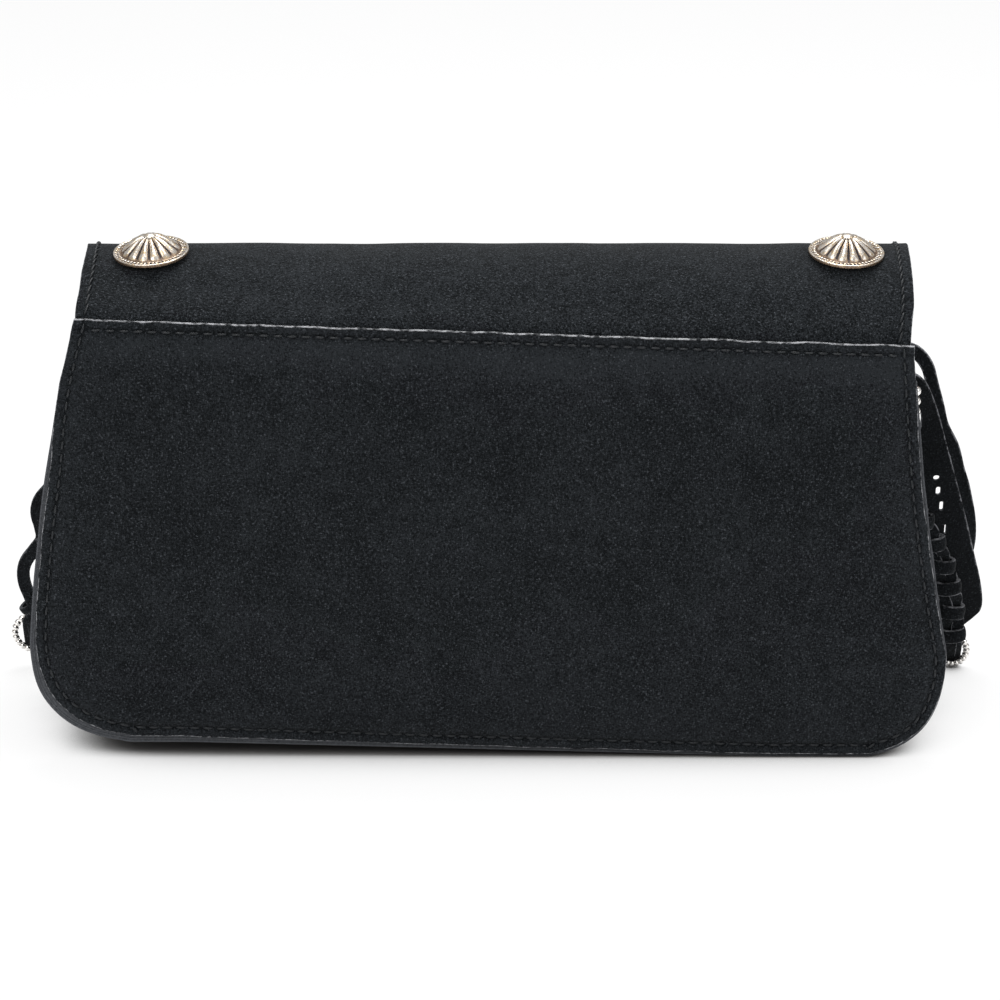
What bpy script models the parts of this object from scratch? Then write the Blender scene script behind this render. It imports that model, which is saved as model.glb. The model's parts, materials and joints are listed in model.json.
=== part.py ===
"""A fringed suede flap bag, standing on its seam margins with the flap shut.

The plain back looks towards -Y and the fringed front towards +Y. Sizes are in bag space: x from the
bag's middle, y from the back panel's face and z from the table. placed() moves them to the world.
"""

import math

import bmesh
import bpy
import numpy as np
from mathutils import Matrix, Vector

MM = 0.001

# Where the bag's middle and its back face are in the world.
MIDDLE_X = -2.4 * MM
BACK_Y = -40.5 * MM

# Suede, and the gap that pieces which touch keep.
SUEDE = 1.4 * MM
GAP = 0.3 * MM

# The outline of the body.
TOP_LEFT = 133.2 * MM
TOP_RIGHT = 137.4 * MM
WIDE_HALF = 152.2 * MM
WIDE_Z = 38 * MM
CORNER_LEFT = 41 * MM
CORNER_RIGHT = 32 * MM
CORNER_POWER = 2.5
BOW_LEFT = -0.6           # the left side edge swells outwards between the seam and the widest level
BOW_RIGHT = 0.5           # the right side edge draws in there
SEAM_LEFT_Z = 153.6 * MM
SEAM_RIGHT_Z = 144.6 * MM
FRONT_TOP_Z = 133 * MM
LEFT_LIFT = 5.2 * MM
LIFT_FULL_X = -100 * MM
LIFT_END_X = 95 * MM
EDGE_SHOWS_LEFT = 2.2 * MM
EDGE_SHOWS_RIGHT = 0.4 * MM
EDGE_SHOWS_BELOW = 2.2 * MM
PILLOW = 3.0 * MM

# The gusset: its seam margins turn outwards along both panels.
MARGIN = 7.0 * MM
GUSSET_TOP_Z = 132 * MM
GUSSET_PINCH = 5.0 * MM
FRONT_Y_TOP = 52.4 * MM
FRONT_Y_SWELL = 13 * MM
FRONT_SWELL_Z = 62 * MM

# The flap: a tab under the back panel, a roll over the top, and a front with a curved edge.
FLAP_MID_X = 2.3 * MM
FLAP_HALF = 134.9 * MM
TAB_LAP = 9.0 * MM
ROLL_Z = 140.6 * MM
ROLL_RISE = 27.2 * MM
ROLL_BACK_Y = SUEDE + GAP
ROLL_MID_Y = 36.0 * MM
ROLL_FRONT_Y = 56.3 * MM
ROLL_POWER = 2.0
EASE_BELOW_SEAM = 4.0 * MM
EASE_OVER = 12.0 * MM
EDGE_SIDE_Z = 118 * MM
EDGE_MID_Z = 96 * MM
HANG_Y_OUT = 27.7 * MM

# The laces of the fringe, each doubled through a slit near the flap's edge.
LACE_WIDTH = 4.5 * MM
LACE_THICK = 1.4 * MM
LACES = 16
SLIT_RISE = 8 * MM
SLIT_ROOM = 0.35 * MM
FIRST_CROSSING = 9 * MM
CROSSING_PITCH = 20 * MM
EYE_HALF = 4.0 * MM
CROSSING_HALF = 1.0 * MM
SHORT_EYE = 13 * MM
FAN_LEFT_X = -155 * MM
FAN_RIGHT_X = 146 * MM
LAST_CROSSING_Z = 14 * MM
TAIL_Z = 1.6 * MM
RING_TAIL_HALF = 0.9 * MM

# The conchos and their screws.
CONCHO_X = {"left": -110.2 * MM, "right": 117.0 * MM}
CONCHO_TIP = {"left": -3.0, "right": 2.0}
CONCHO_Y = 27.6 * MM
CONCHO_R = 12.4 * MM
CONCHO_RIM = 1.0 * MM
CONCHO_RISE = 6.0 * MM
CONCHO_BAND = 2.6 * MM
CONCHO_FLUTES = 14
BOSS_R = 2.6 * MM
SCREW_R = 1.5 * MM
SCREW_HEAD_R = 4.5 * MM
SCREW_HEAD_THICK = 1.2 * MM
SCREW_DEPTH = 3.2 * MM

# Metal on the laces.
RING_OUTSIDE = {"left": 8.7 * MM, "right": 11.3 * MM}
RING_Z = {"left": 13.6 * MM, "right": 6.6 * MM}
RING_R = {"left": 6.2 * MM, "right": 5.0 * MM}
RING_BEAD_R = 1.3 * MM
RING_BEAD_COUNT = 12
BAR_OUTSIDE = 2.9 * MM
BAR_LOW_Z = 99.0 * MM
BAR_BEAD_COUNT = 4
BAR_BEAD_R = 1.7 * MM
BAR_BEAD_PITCH = 3.6 * MM
BAR_CLEAR = 1.35 * MM

BLACK_SUEDE = (0.025, 0.026, 0.03, 1)
SILVER = (0.62, 0.58, 0.54, 1)

for old in list(bpy.data.objects):
    bpy.data.objects.remove(old)

helpers = bpy.data.collections.new("helpers")
bpy.context.scene.collection.children.link(helpers)


def placed(x, y, z):
    return Vector((MIDDLE_X + x, BACK_Y + y, z))


def material(name, colour, metallic=0.0, roughness=0.9):
    made = bpy.data.materials.new(name)
    made.use_nodes = True
    shader = made.node_tree.nodes["Principled BSDF"]
    shader.inputs["Base Color"].default_value = colour
    shader.inputs["Metallic"].default_value = metallic
    shader.inputs["Roughness"].default_value = roughness
    return made


def add_object(name, mesh, colour=BLACK_SUEDE, metallic=0.0, roughness=0.9, helper=False):
    obj = bpy.data.objects.new(name, mesh)
    if helper:
        obj.hide_render = True
        obj.display_type = "WIRE"
        helpers.objects.link(obj)
    else:
        mesh.materials.append(material(name, colour, metallic, roughness))
        bpy.context.scene.collection.objects.link(obj)
    return obj


def mesh_of(name, bm):
    bmesh.ops.recalc_face_normals(bm, faces=bm.faces)
    mesh = bpy.data.meshes.new(name)
    bm.to_mesh(mesh)
    bm.free()
    return mesh


def lofted(rows):
    """An open sheet through rows of points."""
    bm = bmesh.new()
    grid = [[bm.verts.new(point) for point in row] for row in rows]
    for low, high in zip(grid, grid[1:]):
        for a, b, c, d in zip(low, low[1:], high[1:], high):
            bm.faces.new((a, b, c, d))
    return bm


def suede_sheet(name, rows, towards):
    """A sheet through rows of points on its middle layer, with the suede's thickness."""
    bm = lofted(rows)
    bmesh.ops.recalc_face_normals(bm, faces=bm.faces)
    bm.faces.ensure_lookup_table()
    middle = bm.faces[len(bm.faces) // 2]
    if middle.normal.dot(Vector(towards)) < 0:
        bmesh.ops.reverse_faces(bm, faces=bm.faces)
    mesh = bpy.data.meshes.new(name)
    bm.to_mesh(mesh)
    bm.free()
    obj = add_object(name, mesh)
    thick = obj.modifiers.new("suede", "SOLIDIFY")
    thick.thickness = SUEDE
    thick.offset = 0
    thick.use_even_offset = True
    return obj


def boolean(obj, other, operation):
    step = obj.modifiers.new(operation.lower(), "BOOLEAN")
    step.operation = operation
    step.solver = "EXACT"
    step.object = other


def smooth_step(value):
    value = min(max(value, 0.0), 1.0)
    return value * value * (3 - 2 * value)


# The body's outline. "up" runs from 0 at the bottom edge to 1 at the top edge.
def seam_z(x):
    """The back panel's raw top edge, which slants a little, as sewn by hand."""
    return SEAM_LEFT_Z + (SEAM_RIGHT_Z - SEAM_LEFT_Z) * (x + TOP_LEFT) / (TOP_LEFT + TOP_RIGHT)


def back_bottom_z(x):
    """The bottom seam rises towards the left, where the bag's rear is off the table."""
    share = (LIFT_END_X - x) / (LIFT_END_X - LIFT_FULL_X)
    return LEFT_LIFT * min(max(share, 0.0), 1.0)


def half_width(z, side):
    """From the middle to the outer edge on the left (side -1) or on the right (side 1)."""
    if z >= WIDE_Z:
        share = (z - WIDE_Z) / (SEAM_LEFT_Z - WIDE_Z)
        top, bow = (TOP_LEFT, BOW_LEFT) if side < 0 else (TOP_RIGHT, BOW_RIGHT)
        return WIDE_HALF - (WIDE_HALF - top) * share * (1 + bow * (1 - share))
    drop = min((WIDE_Z - z) / WIDE_Z, 1.0)
    corner = CORNER_LEFT if side < 0 else CORNER_RIGHT
    return WIDE_HALF - corner * (1 - (1 - drop ** CORNER_POWER) ** (1 / CORNER_POWER))


def front_y(z):
    """The front panel's outer face: the bag is deeper at the bottom."""
    drop = max(FRONT_TOP_Z + 1 * MM - z, 0.0) / FRONT_SWELL_Z
    return FRONT_Y_TOP + FRONT_Y_SWELL * (1 - math.exp(-(drop ** 1.8)))


def corner_levels(top, rows_above):
    """Heights from the bottom to the top, closer together round the corner."""
    turns = [math.radians(angle) for angle in (0, 14, 30, 48, 68, 90)]
    low = [WIDE_Z * (1 - math.cos(turn)) for turn in turns]
    return low + [WIDE_Z + (top - WIDE_Z) * k / rows_above for k in range(1, rows_above + 1)]


def panel_rows(top_of, bottom_of, y_of, pillow, rows_above, columns):
    rows = []
    nominal_top = SEAM_LEFT_Z
    for level in corner_levels(nominal_top, rows_above):
        up = level / nominal_top
        # The gusset's margin shows past the panel low down, and is flush with it at the top.
        fade = smooth_step((GUSSET_TOP_Z - level) / (40 * MM))
        left = half_width(level, -1) - EDGE_SHOWS_LEFT * fade
        right = half_width(level, 1) - EDGE_SHOWS_RIGHT * fade
        row = []
        for k in range(columns + 1):
            across = -math.cos(math.pi * k / columns) * 0.35 + (2 * k / columns - 1) * 0.65
            x = across * (left if across < 0 else right)
            low = bottom_of(x) + EDGE_SHOWS_BELOW
            z = low + (top_of(x) - low) * up
            swell = (1 - across * across) * math.sin(math.pi * min(up * 1.04, 1.0)) ** 0.6
            row.append(placed(x, y_of(z) + pillow * max(swell, 0.0), z))
        rows.append(row)
    return rows


suede_sheet(
    "back_panel",
    panel_rows(seam_z, back_bottom_z, lambda z: SUEDE / 2, -PILLOW, 6, 14),
    (0, -1, 0),
)
suede_sheet(
    "front_panel",
    panel_rows(lambda x: FRONT_TOP_Z, lambda x: 0.0, lambda z: front_y(z) - SUEDE / 2, 0.0, 6, 12),
    (0, 1, 0),
)


# The gusset: one strip round both sides and the bottom. Its section runs from the rear margin's
# edge, in along the back panel, across to the front, and out along the front panel.
def outline(bottom_of, top):
    """Points up to the top on the left, round the bottom, and up on the right."""
    levels = corner_levels(top, 5)
    left = [(-half_width(z, -1), z) for z in reversed(levels)]
    middle = [(half_width(0, 1) * across, 0.0) for across in (-0.6, -0.25, 0.0, 0.25, 0.6)]
    right = [(half_width(z, 1), z) for z in levels]
    share = 1 / (2 * WIDE_Z)
    return [
        (x, z + bottom_of(x) * max(1 - z * share, 0.0)) for x, z in left + middle + right
    ]


def inwards(line, k, reach):
    """The point of the line moved square to it, into the bag."""
    before, after = line[max(k - 1, 0)], line[min(k + 1, len(line) - 1)]
    along = Vector((after[0] - before[0], after[1] - before[1])).normalized()
    return line[k][0] - along.y * reach, line[k][1] + along.x * reach


def gusset_rows():
    back = outline(back_bottom_z, GUSSET_TOP_Z)
    front = outline(lambda x: 0.0, GUSSET_TOP_Z)
    back_y = SUEDE + GAP + SUEDE / 2
    rows = []
    for k, (x, z) in enumerate(back):
        upright = smooth_step(z / (2 * WIDE_Z))
        pinch = GUSSET_PINCH * upright - 1.5 * MM * (1 - upright)
        row = [placed(x, back_y, z)]
        x_in, z_in = inwards(back, k, MARGIN)
        row.append(placed(x_in, back_y, z_in))
        for share in (0.06, 0.35, 0.65, 0.94):
            bow = pinch * math.sin(math.pi * share)
            xb, zb = inwards(back, k, MARGIN + 0.8 * MM + bow)
            xf, zf = inwards(front, k, MARGIN + 0.8 * MM + bow)
            near, far = back_y, front_y(zf) - SUEDE - GAP - SUEDE / 2
            row.append(
                placed(
                    xb + (xf - xb) * share, near + (far - near) * share, zb + (zf - zb) * share
                )
            )
        xf, zf = inwards(front, k, MARGIN)
        row.append(placed(xf, front_y(zf) - SUEDE - GAP - SUEDE / 2, zf))
        x, z = front[k]
        row.append(placed(x, front_y(z) - SUEDE - GAP - SUEDE / 2, z))
        rows.append(row)
    return rows


suede_sheet("gusset", gusset_rows(), (0, 0, -1))


# The flap. Its section is one line, from low at the back, over the roll, to low at the front.
def hang_y(z):
    """The middle of a lace that lies on the flap's front, or hangs in line with it."""
    drop = max(ROLL_Z - z, 0.0) / ROLL_Z
    return ROLL_FRONT_Y + GAP + LACE_THICK / 2 + HANG_Y_OUT * drop ** 1.6


def flap_outer_y(z):
    return hang_y(z) - LACE_THICK / 2 - GAP


def section_line():
    points = [(ROLL_BACK_Y, ROLL_Z - step * MM) for step in range(14, 0, -1)]
    for degree in range(0, 181, 2):
        turn = math.radians(degree)
        across = math.copysign(abs(math.cos(turn)) ** (2 / ROLL_POWER), math.cos(turn))
        half = ROLL_MID_Y - ROLL_BACK_Y if across > 0 else ROLL_FRONT_Y - ROLL_MID_Y
        rise = ROLL_RISE * abs(math.sin(turn)) ** (2 / ROLL_POWER)
        points.append((ROLL_MID_Y - half * across, ROLL_Z + rise))
    front_z = ROLL_Z - 1 * MM
    while front_z > EDGE_MID_Z - 3 * MM:
        points.append((flap_outer_y(front_z), front_z))
        front_z -= 1 * MM
    return np.array(points)


SECTION = section_line()
# The suede's middle layer lies half its thickness inside the outer face.
TANGENT = np.gradient(SECTION, axis=0)
TANGENT /= np.linalg.norm(TANGENT, axis=1)[:, None]
MIDLINE = SECTION + np.column_stack([TANGENT[:, 1], -TANGENT[:, 0]]) * SUEDE / 2
ALONG = np.concatenate([[0], np.cumsum(np.linalg.norm(np.diff(MIDLINE, axis=0), axis=1))])
CREST = int(np.argmax(MIDLINE[:, 1]))
ROLL_END = 14 + 90


def middle_at(x, along):
    """The suede's middle layer, flat behind the back panel's seam and easing into the roll above it."""
    y = float(np.interp(along, ALONG, MIDLINE[:, 0]))
    z = float(np.interp(along, ALONG, MIDLINE[:, 1]))
    if y < ROLL_MID_Y:
        flat = ROLL_BACK_Y + SUEDE / 2
        y = flat + (y - flat) * smooth_step((z - seam_z(x) + EASE_BELOW_SEAM) / EASE_OVER)
    return x, y, z


def edge_z(x):
    """The flap's curved front edge, higher at the sides."""
    share = (x - FLAP_MID_X) / FLAP_HALF
    return EDGE_MID_Z + (EDGE_SIDE_Z - EDGE_MID_Z) * share * share


def flap_rows():
    rows = []
    columns = 12
    for k in range(columns + 1):
        x = FLAP_MID_X + FLAP_HALF * (2 * k / columns - 1)
        tab = float(np.interp(seam_z(x) - TAB_LAP, MIDLINE[:CREST, 1], ALONG[:CREST]))
        front = MIDLINE[CREST:]
        edge = float(np.interp(-edge_z(x), -front[:, 1], ALONG[CREST:]))
        stations = list(np.linspace(tab, ALONG[ROLL_END], 16))
        stations += list(np.linspace(ALONG[ROLL_END], edge, 5))[1:]
        rows.append([placed(*middle_at(x, along)) for along in stations])
    return rows


flap = suede_sheet("flap", flap_rows(), (0, 0, 1))


def box_mesh(name, centre, size, turn=None):
    bm = bmesh.new()
    bmesh.ops.create_cube(bm, size=1, matrix=Matrix.Diagonal((*size, 1)))
    if turn is not None:
        bmesh.ops.transform(bm, matrix=turn, verts=bm.verts)
    bmesh.ops.translate(bm, vec=centre, verts=bm.verts)
    return mesh_of(name, bm)


def cylinder_mesh(name, radius, low, high, place, sides=20):
    bm = bmesh.new()
    bmesh.ops.create_cone(
        bm, cap_ends=True, segments=sides, radius1=radius, radius2=radius, depth=high - low
    )
    bmesh.ops.translate(bm, vec=(0, 0, (low + high) / 2), verts=bm.verts)
    bmesh.ops.transform(bm, matrix=place, verts=bm.verts)
    return mesh_of(name, bm)


# Conchos: a rim, a flat band, a fluted dome and a round boss. Each sits on the roll's top.
def roll_seat(side):
    """The place on the flap's outer face under a concho's middle, its Z out of the suede."""
    back_roll = SECTION[14 : CREST + 1]
    z = float(np.interp(CONCHO_Y, back_roll[:, 0], back_roll[:, 1]))
    k = int(np.searchsorted(back_roll[:, 0], CONCHO_Y))
    slope = back_roll[k] - back_roll[k - 1]
    tip_back = math.atan2(slope[1], slope[0])
    seat = Matrix.Translation(placed(CONCHO_X[side], CONCHO_Y, z))
    seat @= Matrix.Rotation(math.radians(CONCHO_TIP[side]), 4, "Y")
    return seat @ Matrix.Rotation(tip_back, 4, "X")


def concho_mesh(name, place):
    sides = CONCHO_FLUTES * 2
    dome_r = CONCHO_R - CONCHO_BAND
    rings = [
        (CONCHO_R - 0.4 * MM, 0.0, 0.0),
        (CONCHO_R, CONCHO_RIM * 0.5, 0.0),
        (CONCHO_R - 0.3 * MM, CONCHO_RIM, 0.0),
        (dome_r, CONCHO_RIM, 0.0),
        (dome_r * 0.93, CONCHO_RIM + CONCHO_RISE * 0.24, 0.35 * MM),
        (dome_r * 0.72, CONCHO_RIM + CONCHO_RISE * 0.60, 0.5 * MM),
        (dome_r * 0.45, CONCHO_RIM + CONCHO_RISE * 0.82, 0.35 * MM),
        (BOSS_R, CONCHO_RIM + CONCHO_RISE * 0.86, 0.0),
        (BOSS_R * 0.7, CONCHO_RIM + CONCHO_RISE, 0.0),
    ]
    bm = bmesh.new()
    loops = []
    for radius, height, flute in rings:
        loop = []
        for k in range(sides):
            turn = 2 * math.pi * k / sides
            lift = flute if k % 2 == 0 else -flute
            point = ((radius + lift) * math.cos(turn), (radius + lift) * math.sin(turn), height + lift)
            loop.append(bm.verts.new(point))
        loops.append(loop)
    for low, high in zip(loops, loops[1:]):
        for k in range(sides):
            after = (k + 1) % sides
            bm.faces.new((low[k], low[after], high[after], high[k]))
    bm.faces.new(loops[0])
    bm.faces.new(loops[-1])
    bmesh.ops.transform(bm, matrix=place, verts=bm.verts)
    return mesh_of(name, bm)


for side in ("left", "right"):
    seat = roll_seat(side)
    # A tipped concho stands on one side of its rim.
    lift = GAP + CONCHO_R * math.sin(math.radians(abs(CONCHO_TIP[side])))
    concho_place = seat @ Matrix.Translation((0, 0, lift))
    concho = add_object(
        f"concho_{side}", concho_mesh(f"concho_{side}", concho_place), SILVER, 1.0, 0.35
    )
    hole = cylinder_mesh(
        f"{side}_screw_hole", SCREW_R + GAP, -1 * MM, SCREW_DEPTH + GAP, concho_place
    )
    boolean(concho, add_object(f"{side}_screw_hole", hole, helper=True), "DIFFERENCE")
    slot = cylinder_mesh(f"{side}_flap_hole", SCREW_R + GAP, -6 * MM, 6 * MM, seat)
    boolean(flap, add_object(f"{side}_flap_hole", slot, helper=True), "DIFFERENCE")
    under = -SUEDE - GAP - SCREW_HEAD_R * math.sin(math.radians(abs(CONCHO_TIP[side])))
    head = cylinder_mesh(
        f"concho_screw_{side}", SCREW_HEAD_R, under - SCREW_HEAD_THICK, under, seat
    )
    screw = add_object(f"concho_screw_{side}", head, SILVER, 1.0, 0.4)
    shank = cylinder_mesh(
        f"{side}_shank", SCREW_R, under - SCREW_HEAD_THICK / 2, lift + SCREW_DEPTH, seat, 12
    )
    boolean(screw, add_object(f"{side}_shank", shank, helper=True), "UNION")


# The fringe. A half is a flat strip through points (x, z, y offset from the hang line).
def ribbon_mesh(name, pairs):
    """A closed strip of the lace's thickness between pairs of points, its left and its right edge."""
    bm = bmesh.new()
    loops = []
    middles = [(left + right) / 2 for left, right in pairs]
    for k, (left, right) in enumerate(pairs):
        along = middles[min(k + 1, len(pairs) - 1)] - middles[max(k - 1, 0)]
        out = (right - left).cross(along).normalized() * LACE_THICK / 2
        corners = (right + out, left + out, left - out, right - out)
        loops.append([bm.verts.new(corner) for corner in corners])
    for low, high in zip(loops, loops[1:]):
        for k in range(4):
            bm.faces.new((low[k], low[(k + 1) % 4], high[(k + 1) % 4], high[k]))
    bm.faces.new(loops[0])
    bm.faces.new(loops[-1])
    return mesh_of(name, bm)


def strip_mesh(name, points):
    """A flat lace face-on to the front, square-ended, through points in bag space."""
    centres = [placed(x, hang_y(z) + off, z) for x, z, off in points]
    pairs = []
    for k, centre in enumerate(centres):
        along = centres[min(k + 1, len(centres) - 1)] - centres[max(k - 1, 0)]
        across = along.cross(Vector((0, 1, 0))).normalized() * LACE_WIDTH / 2
        pairs.append((centre - across, centre + across))
    return ribbon_mesh(name, pairs)


def ring_y(z, back):
    return hang_y(z) - (2 * GAP + SUEDE + LACE_THICK) / 2 - back


def tail_through(ring, sign, back):
    """A tail that goes into its ring from behind and comes out in front of it."""
    x, z, radius = ring
    clear = RING_BEAD_R + GAP + LACE_THICK * 0.8
    points = []
    for share, side in ((0.95, -1), (0.4, -0.55), (-0.4, 0.55), (-0.95, 1)):
        level = z + radius * share
        points.append((x + sign * RING_TAIL_HALF, level, ring_y(z, back) + clear * side - hang_y(level)))
    return points


def halves(x_slit, slit_z, crossings, eyes, centre_x, tail_x, ring=None, back=0.0):
    """The front and back half of one lace: legs, eyes between the crossings, and tails."""
    both = []
    for sign, leg, run in ((1, 0.0, -0.5), (-1, -1.0, 0.5)):
        deep = (2 * GAP + SUEDE + LACE_THICK) * leg
        middle = -(2 * GAP + SUEDE + LACE_THICK) / 2
        lie = middle - run * MM - back
        points = [(x_slit, slit_z + 0.5 * MM, deep), (x_slit, slit_z - SLIT_RISE - 1 * MM, deep)]
        for k, z in enumerate(crossings):
            x = centre_x(z)
            points.append((x + sign * CROSSING_HALF, z, lie))
            if k + 1 < len(crossings):
                short = z - crossings[k + 1] < SHORT_EYE
                for share, swell in ((0.5, 1.0),) if short else ((0.3, 0.86), (0.7, 0.86)):
                    zs = z + (crossings[k + 1] - z) * share
                    off = CROSSING_HALF + (eyes[k] - CROSSING_HALF) * swell
                    points.append((centre_x(zs) + sign * off, zs, lie))
        if ring:
            points += tail_through(ring, sign, back)
        else:
            points.append((tail_x + sign * 2.0 * MM, TAIL_Z, lie))
        both.append(points)
    return both


def add_lace(number, x_slit, front, back, slit_z):
    """One lace of suede: its front and back half and the fold through the slit, as one piece."""
    name = f"fringe_{number:02d}"
    obj = add_object(name, strip_mesh(name, front))
    boolean(obj, add_object(f"{name}_back", back, helper=True), "UNION")
    deep = 2 * GAP + SUEDE + LACE_THICK
    y = hang_y(slit_z) - deep / 2
    fold = box_mesh(
        f"{name}_fold", placed(x_slit, y, slit_z), (LACE_WIDTH - 0.1 * MM, deep, LACE_THICK)
    )
    boolean(obj, add_object(f"{name}_fold", fold, helper=True), "UNION")
    room = (LACE_WIDTH + 2 * SLIT_ROOM, 12 * MM, LACE_THICK + 2 * SLIT_ROOM)
    slit = box_mesh(f"{name}_slit", placed(x_slit, y, slit_z), room)
    boolean(flap, add_object(f"{name}_slit", slit, helper=True), "DIFFERENCE")
    return obj


def slit_x(number):
    share = (number - 1) / (LACES - 1)
    return FLAP_MID_X + (FLAP_HALF - 6 * MM) * (2 * share - 1)


def even_crossings(first):
    """Crossings from the first one down to the last, about one pitch apart."""
    spaces = round((first - LAST_CROSSING_Z) / CROSSING_PITCH)
    return [first + (LAST_CROSSING_Z - first) * k / spaces for k in range(spaces + 1)]


# The laces that show past the sides of the back have routes of their own, as points of how far
# outside the body's widest line they run and how high, in millimetres.
LEFT_CENTRE = [(-18.2, 112), (-8.2, 94), (-3.9, 76), (1.2, 52.7), (5.8, 23), (8.3, 1)]
LEFT_CROSSINGS = [109, 94, 76, 52.7, 23]
LEFT_EYES = [3.6, 4.4, 5.6, 7.4]
PLAIT_CENTRE = [(-34.2, 112), (-24.2, 100), (-13.2, 82), (-3.2, 61), (1.4, 52), (5.3, 43), (8.8, 31),
                (10.3, 21), (11.3, 9), (11.3, 1)]
PLAIT_CROSSINGS = [109, 96, 82, 70, 61, 52, 43, 34, 24, 14]
RIGHT_OUTER = [
    (-18.2, 122.5), (-10.2, 126.5), (-3.7, 120), (-1.7, 112), (0.6, 104), (2.4, 96),
    (6.8, 88.5), (8.8, 80), (11.4, 72), (14.2, 60), (14.7, 49), (11.8, 39), (7.8, 30), (4.8, 22),
]
# The wide half of the last lace, as its inner point and its outer point.
RIGHT_BAND = [
    (-23.4, 118, -18.8, 118), (-20.7, 111.5, -14.7, 117.2), (-13.7, 112.0, -8.7, 118.2),
    (-9.6, 110.5, -3.8, 114.2), (-6.6, 105, -0.4, 105.6), (-4.8, 100.5, 1.8, 98.8),
    (-5.7, 94, 4.5, 89.1), (-7.7, 77, 8.3, 76.3), (-7.7, 61, 12.7, 61.1),
    (-6.7, 47, 16.3, 47.1), (-4.2, 33, 19.9, 33.9), (-1.2, 19, 21.1, 23.8),
    (2.8, 17.2, 18.2, 20.2), (7.8, 15.0, 15, 17.0),
]
BAND_SLITS = [(1.7, 76), (3, 70.5), (4.2, 64.7), (6, 55)]
BAND_SLIT_SIZE = (1.4, 3.4)
BAND_FORWARD = 2.4 * MM
BAND_FORWARD_Z = 114 * MM
BAND_FORWARD_OVER = 16 * MM
PLAIT_BACK = 1.6 * MM


def from_side(side, outside):
    """The x of a point that lies so many millimetres outside the body's widest line."""
    return side * (WIDE_HALF + outside * MM)


def along_route(side, route):
    zs = [z * MM for _, z in reversed(route)]
    xs = [from_side(side, outside) for outside, _ in reversed(route)]
    return lambda z: float(np.interp(z, zs, xs))


def ring_at(name):
    """The ring's middle, x and z, and its radius."""
    side = -1 if name == "left" else 1
    return from_side(side, RING_OUTSIDE[name] / MM), RING_Z[name], RING_R[name]


def fan_x(number):
    share = (number - 1) / (LACES - 1)
    return FAN_LEFT_X + (FAN_RIGHT_X - FAN_LEFT_X) * share


for number in range(1, LACES):
    x_slit = slit_x(number)
    slit_z = edge_z(x_slit) + SLIT_RISE
    crossings = even_crossings(edge_z(x_slit) - FIRST_CROSSING)
    eyes = [EYE_HALF + 0.5 * MM * math.sin(2.4 * number + 1.7 * k) for k in range(len(crossings))]
    foot_x = fan_x(number)

    def centre_x(z, x_slit=x_slit, foot_x=foot_x, number=number):
        share = (edge_z(x_slit) - z) / edge_z(x_slit)
        sway = 1.3 * MM * math.sin(0.075 * z / MM + 1.9 * number) * min(max(share * 4, 0.0), 1.0)
        return x_slit + (foot_x - x_slit) * max(share, 0.0) ** 1.1 + sway

    tail_x, ring, behind = foot_x, None, 0.0
    if number == 1:
        ring = ring_at("left")
        centre_x = along_route(-1, LEFT_CENTRE)
        crossings = [z * MM for z in LEFT_CROSSINGS]
        eyes = [half * MM for half in LEFT_EYES]
    if number == LACES - 1:
        centre_x = along_route(1, PLAIT_CENTRE)
        crossings = [z * MM for z in PLAIT_CROSSINGS]
        eyes = [3.0 * MM] * len(crossings)
        ring, behind = ring_at("right"), PLAIT_BACK
    front, back = halves(x_slit, slit_z, crossings, eyes, centre_x, tail_x, ring, behind)
    add_lace(number, x_slit, front, strip_mesh("back_half", back), slit_z)

# The last lace: its front half is narrow, and its back half is a wide band.
last_x = slit_x(LACES)
last_slit_z = edge_z(last_x) + SLIT_RISE
legs_deep = 2 * GAP + SUEDE + LACE_THICK
outer = [(last_x, last_slit_z + 0.5 * MM, 0.0)]
outer += [(from_side(1, outside), z * MM, 0.0) for outside, z in RIGHT_OUTER[:2]]
outer += [(from_side(1, outside), z * MM, 0.3 * MM) for outside, z in RIGHT_OUTER[2:]]


def band_point(x, z):
    forward = BAND_FORWARD * smooth_step((BAND_FORWARD_Z - z) / BAND_FORWARD_OVER)
    return placed(x, hang_y(z) - legs_deep + forward, z)


band_top_z = last_slit_z + 0.5 * MM
pairs = [
    tuple(band_point(last_x + sign * LACE_WIDTH / 2, band_top_z) for sign in (-1, 1))
]
for inner_x, inner_z, outer_x, outer_z in RIGHT_BAND:
    inner = band_point(from_side(1, inner_x), inner_z * MM)
    pairs.append((inner, band_point(from_side(1, outer_x), outer_z * MM)))
last_lace = add_lace(LACES, last_x, outer, ribbon_mesh("band", pairs), last_slit_z)
for k, (outside, z) in enumerate(BAND_SLITS):
    width, height = (side * MM for side in BAND_SLIT_SIZE)
    through = (width, LACE_THICK + 1 * MM, height)
    slit = box_mesh(f"band_slit_{k}", band_point(from_side(1, outside), z * MM), through)
    boolean(last_lace, add_object(f"band_slit_{k}", slit, helper=True), "DIFFERENCE")


# Metal on the laces: a small ring at each side's foot, round the tails of a lace.
def beaded_ring_mesh(name, centre, radius, bead_radius, beads):
    bm = bmesh.new()
    around, sides = beads * 2, 6
    loops = []
    for k in range(around):
        turn = 2 * math.pi * k / around
        thick = bead_radius if k % 2 == 0 else bead_radius * 0.72
        loop = []
        for j in range(sides):
            round_it = 2 * math.pi * j / sides
            reach = radius + thick * math.cos(round_it)
            point = (reach * math.cos(turn), thick * math.sin(round_it), reach * math.sin(turn))
            loop.append(bm.verts.new(point))
        loops.append(loop)
    for k in range(around):
        low, high = loops[k], loops[(k + 1) % around]
        for j in range(sides):
            bm.faces.new((low[j], low[(j + 1) % sides], high[(j + 1) % sides], high[j]))
    bmesh.ops.translate(bm, vec=centre, verts=bm.verts)
    return mesh_of(name, bm)


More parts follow.
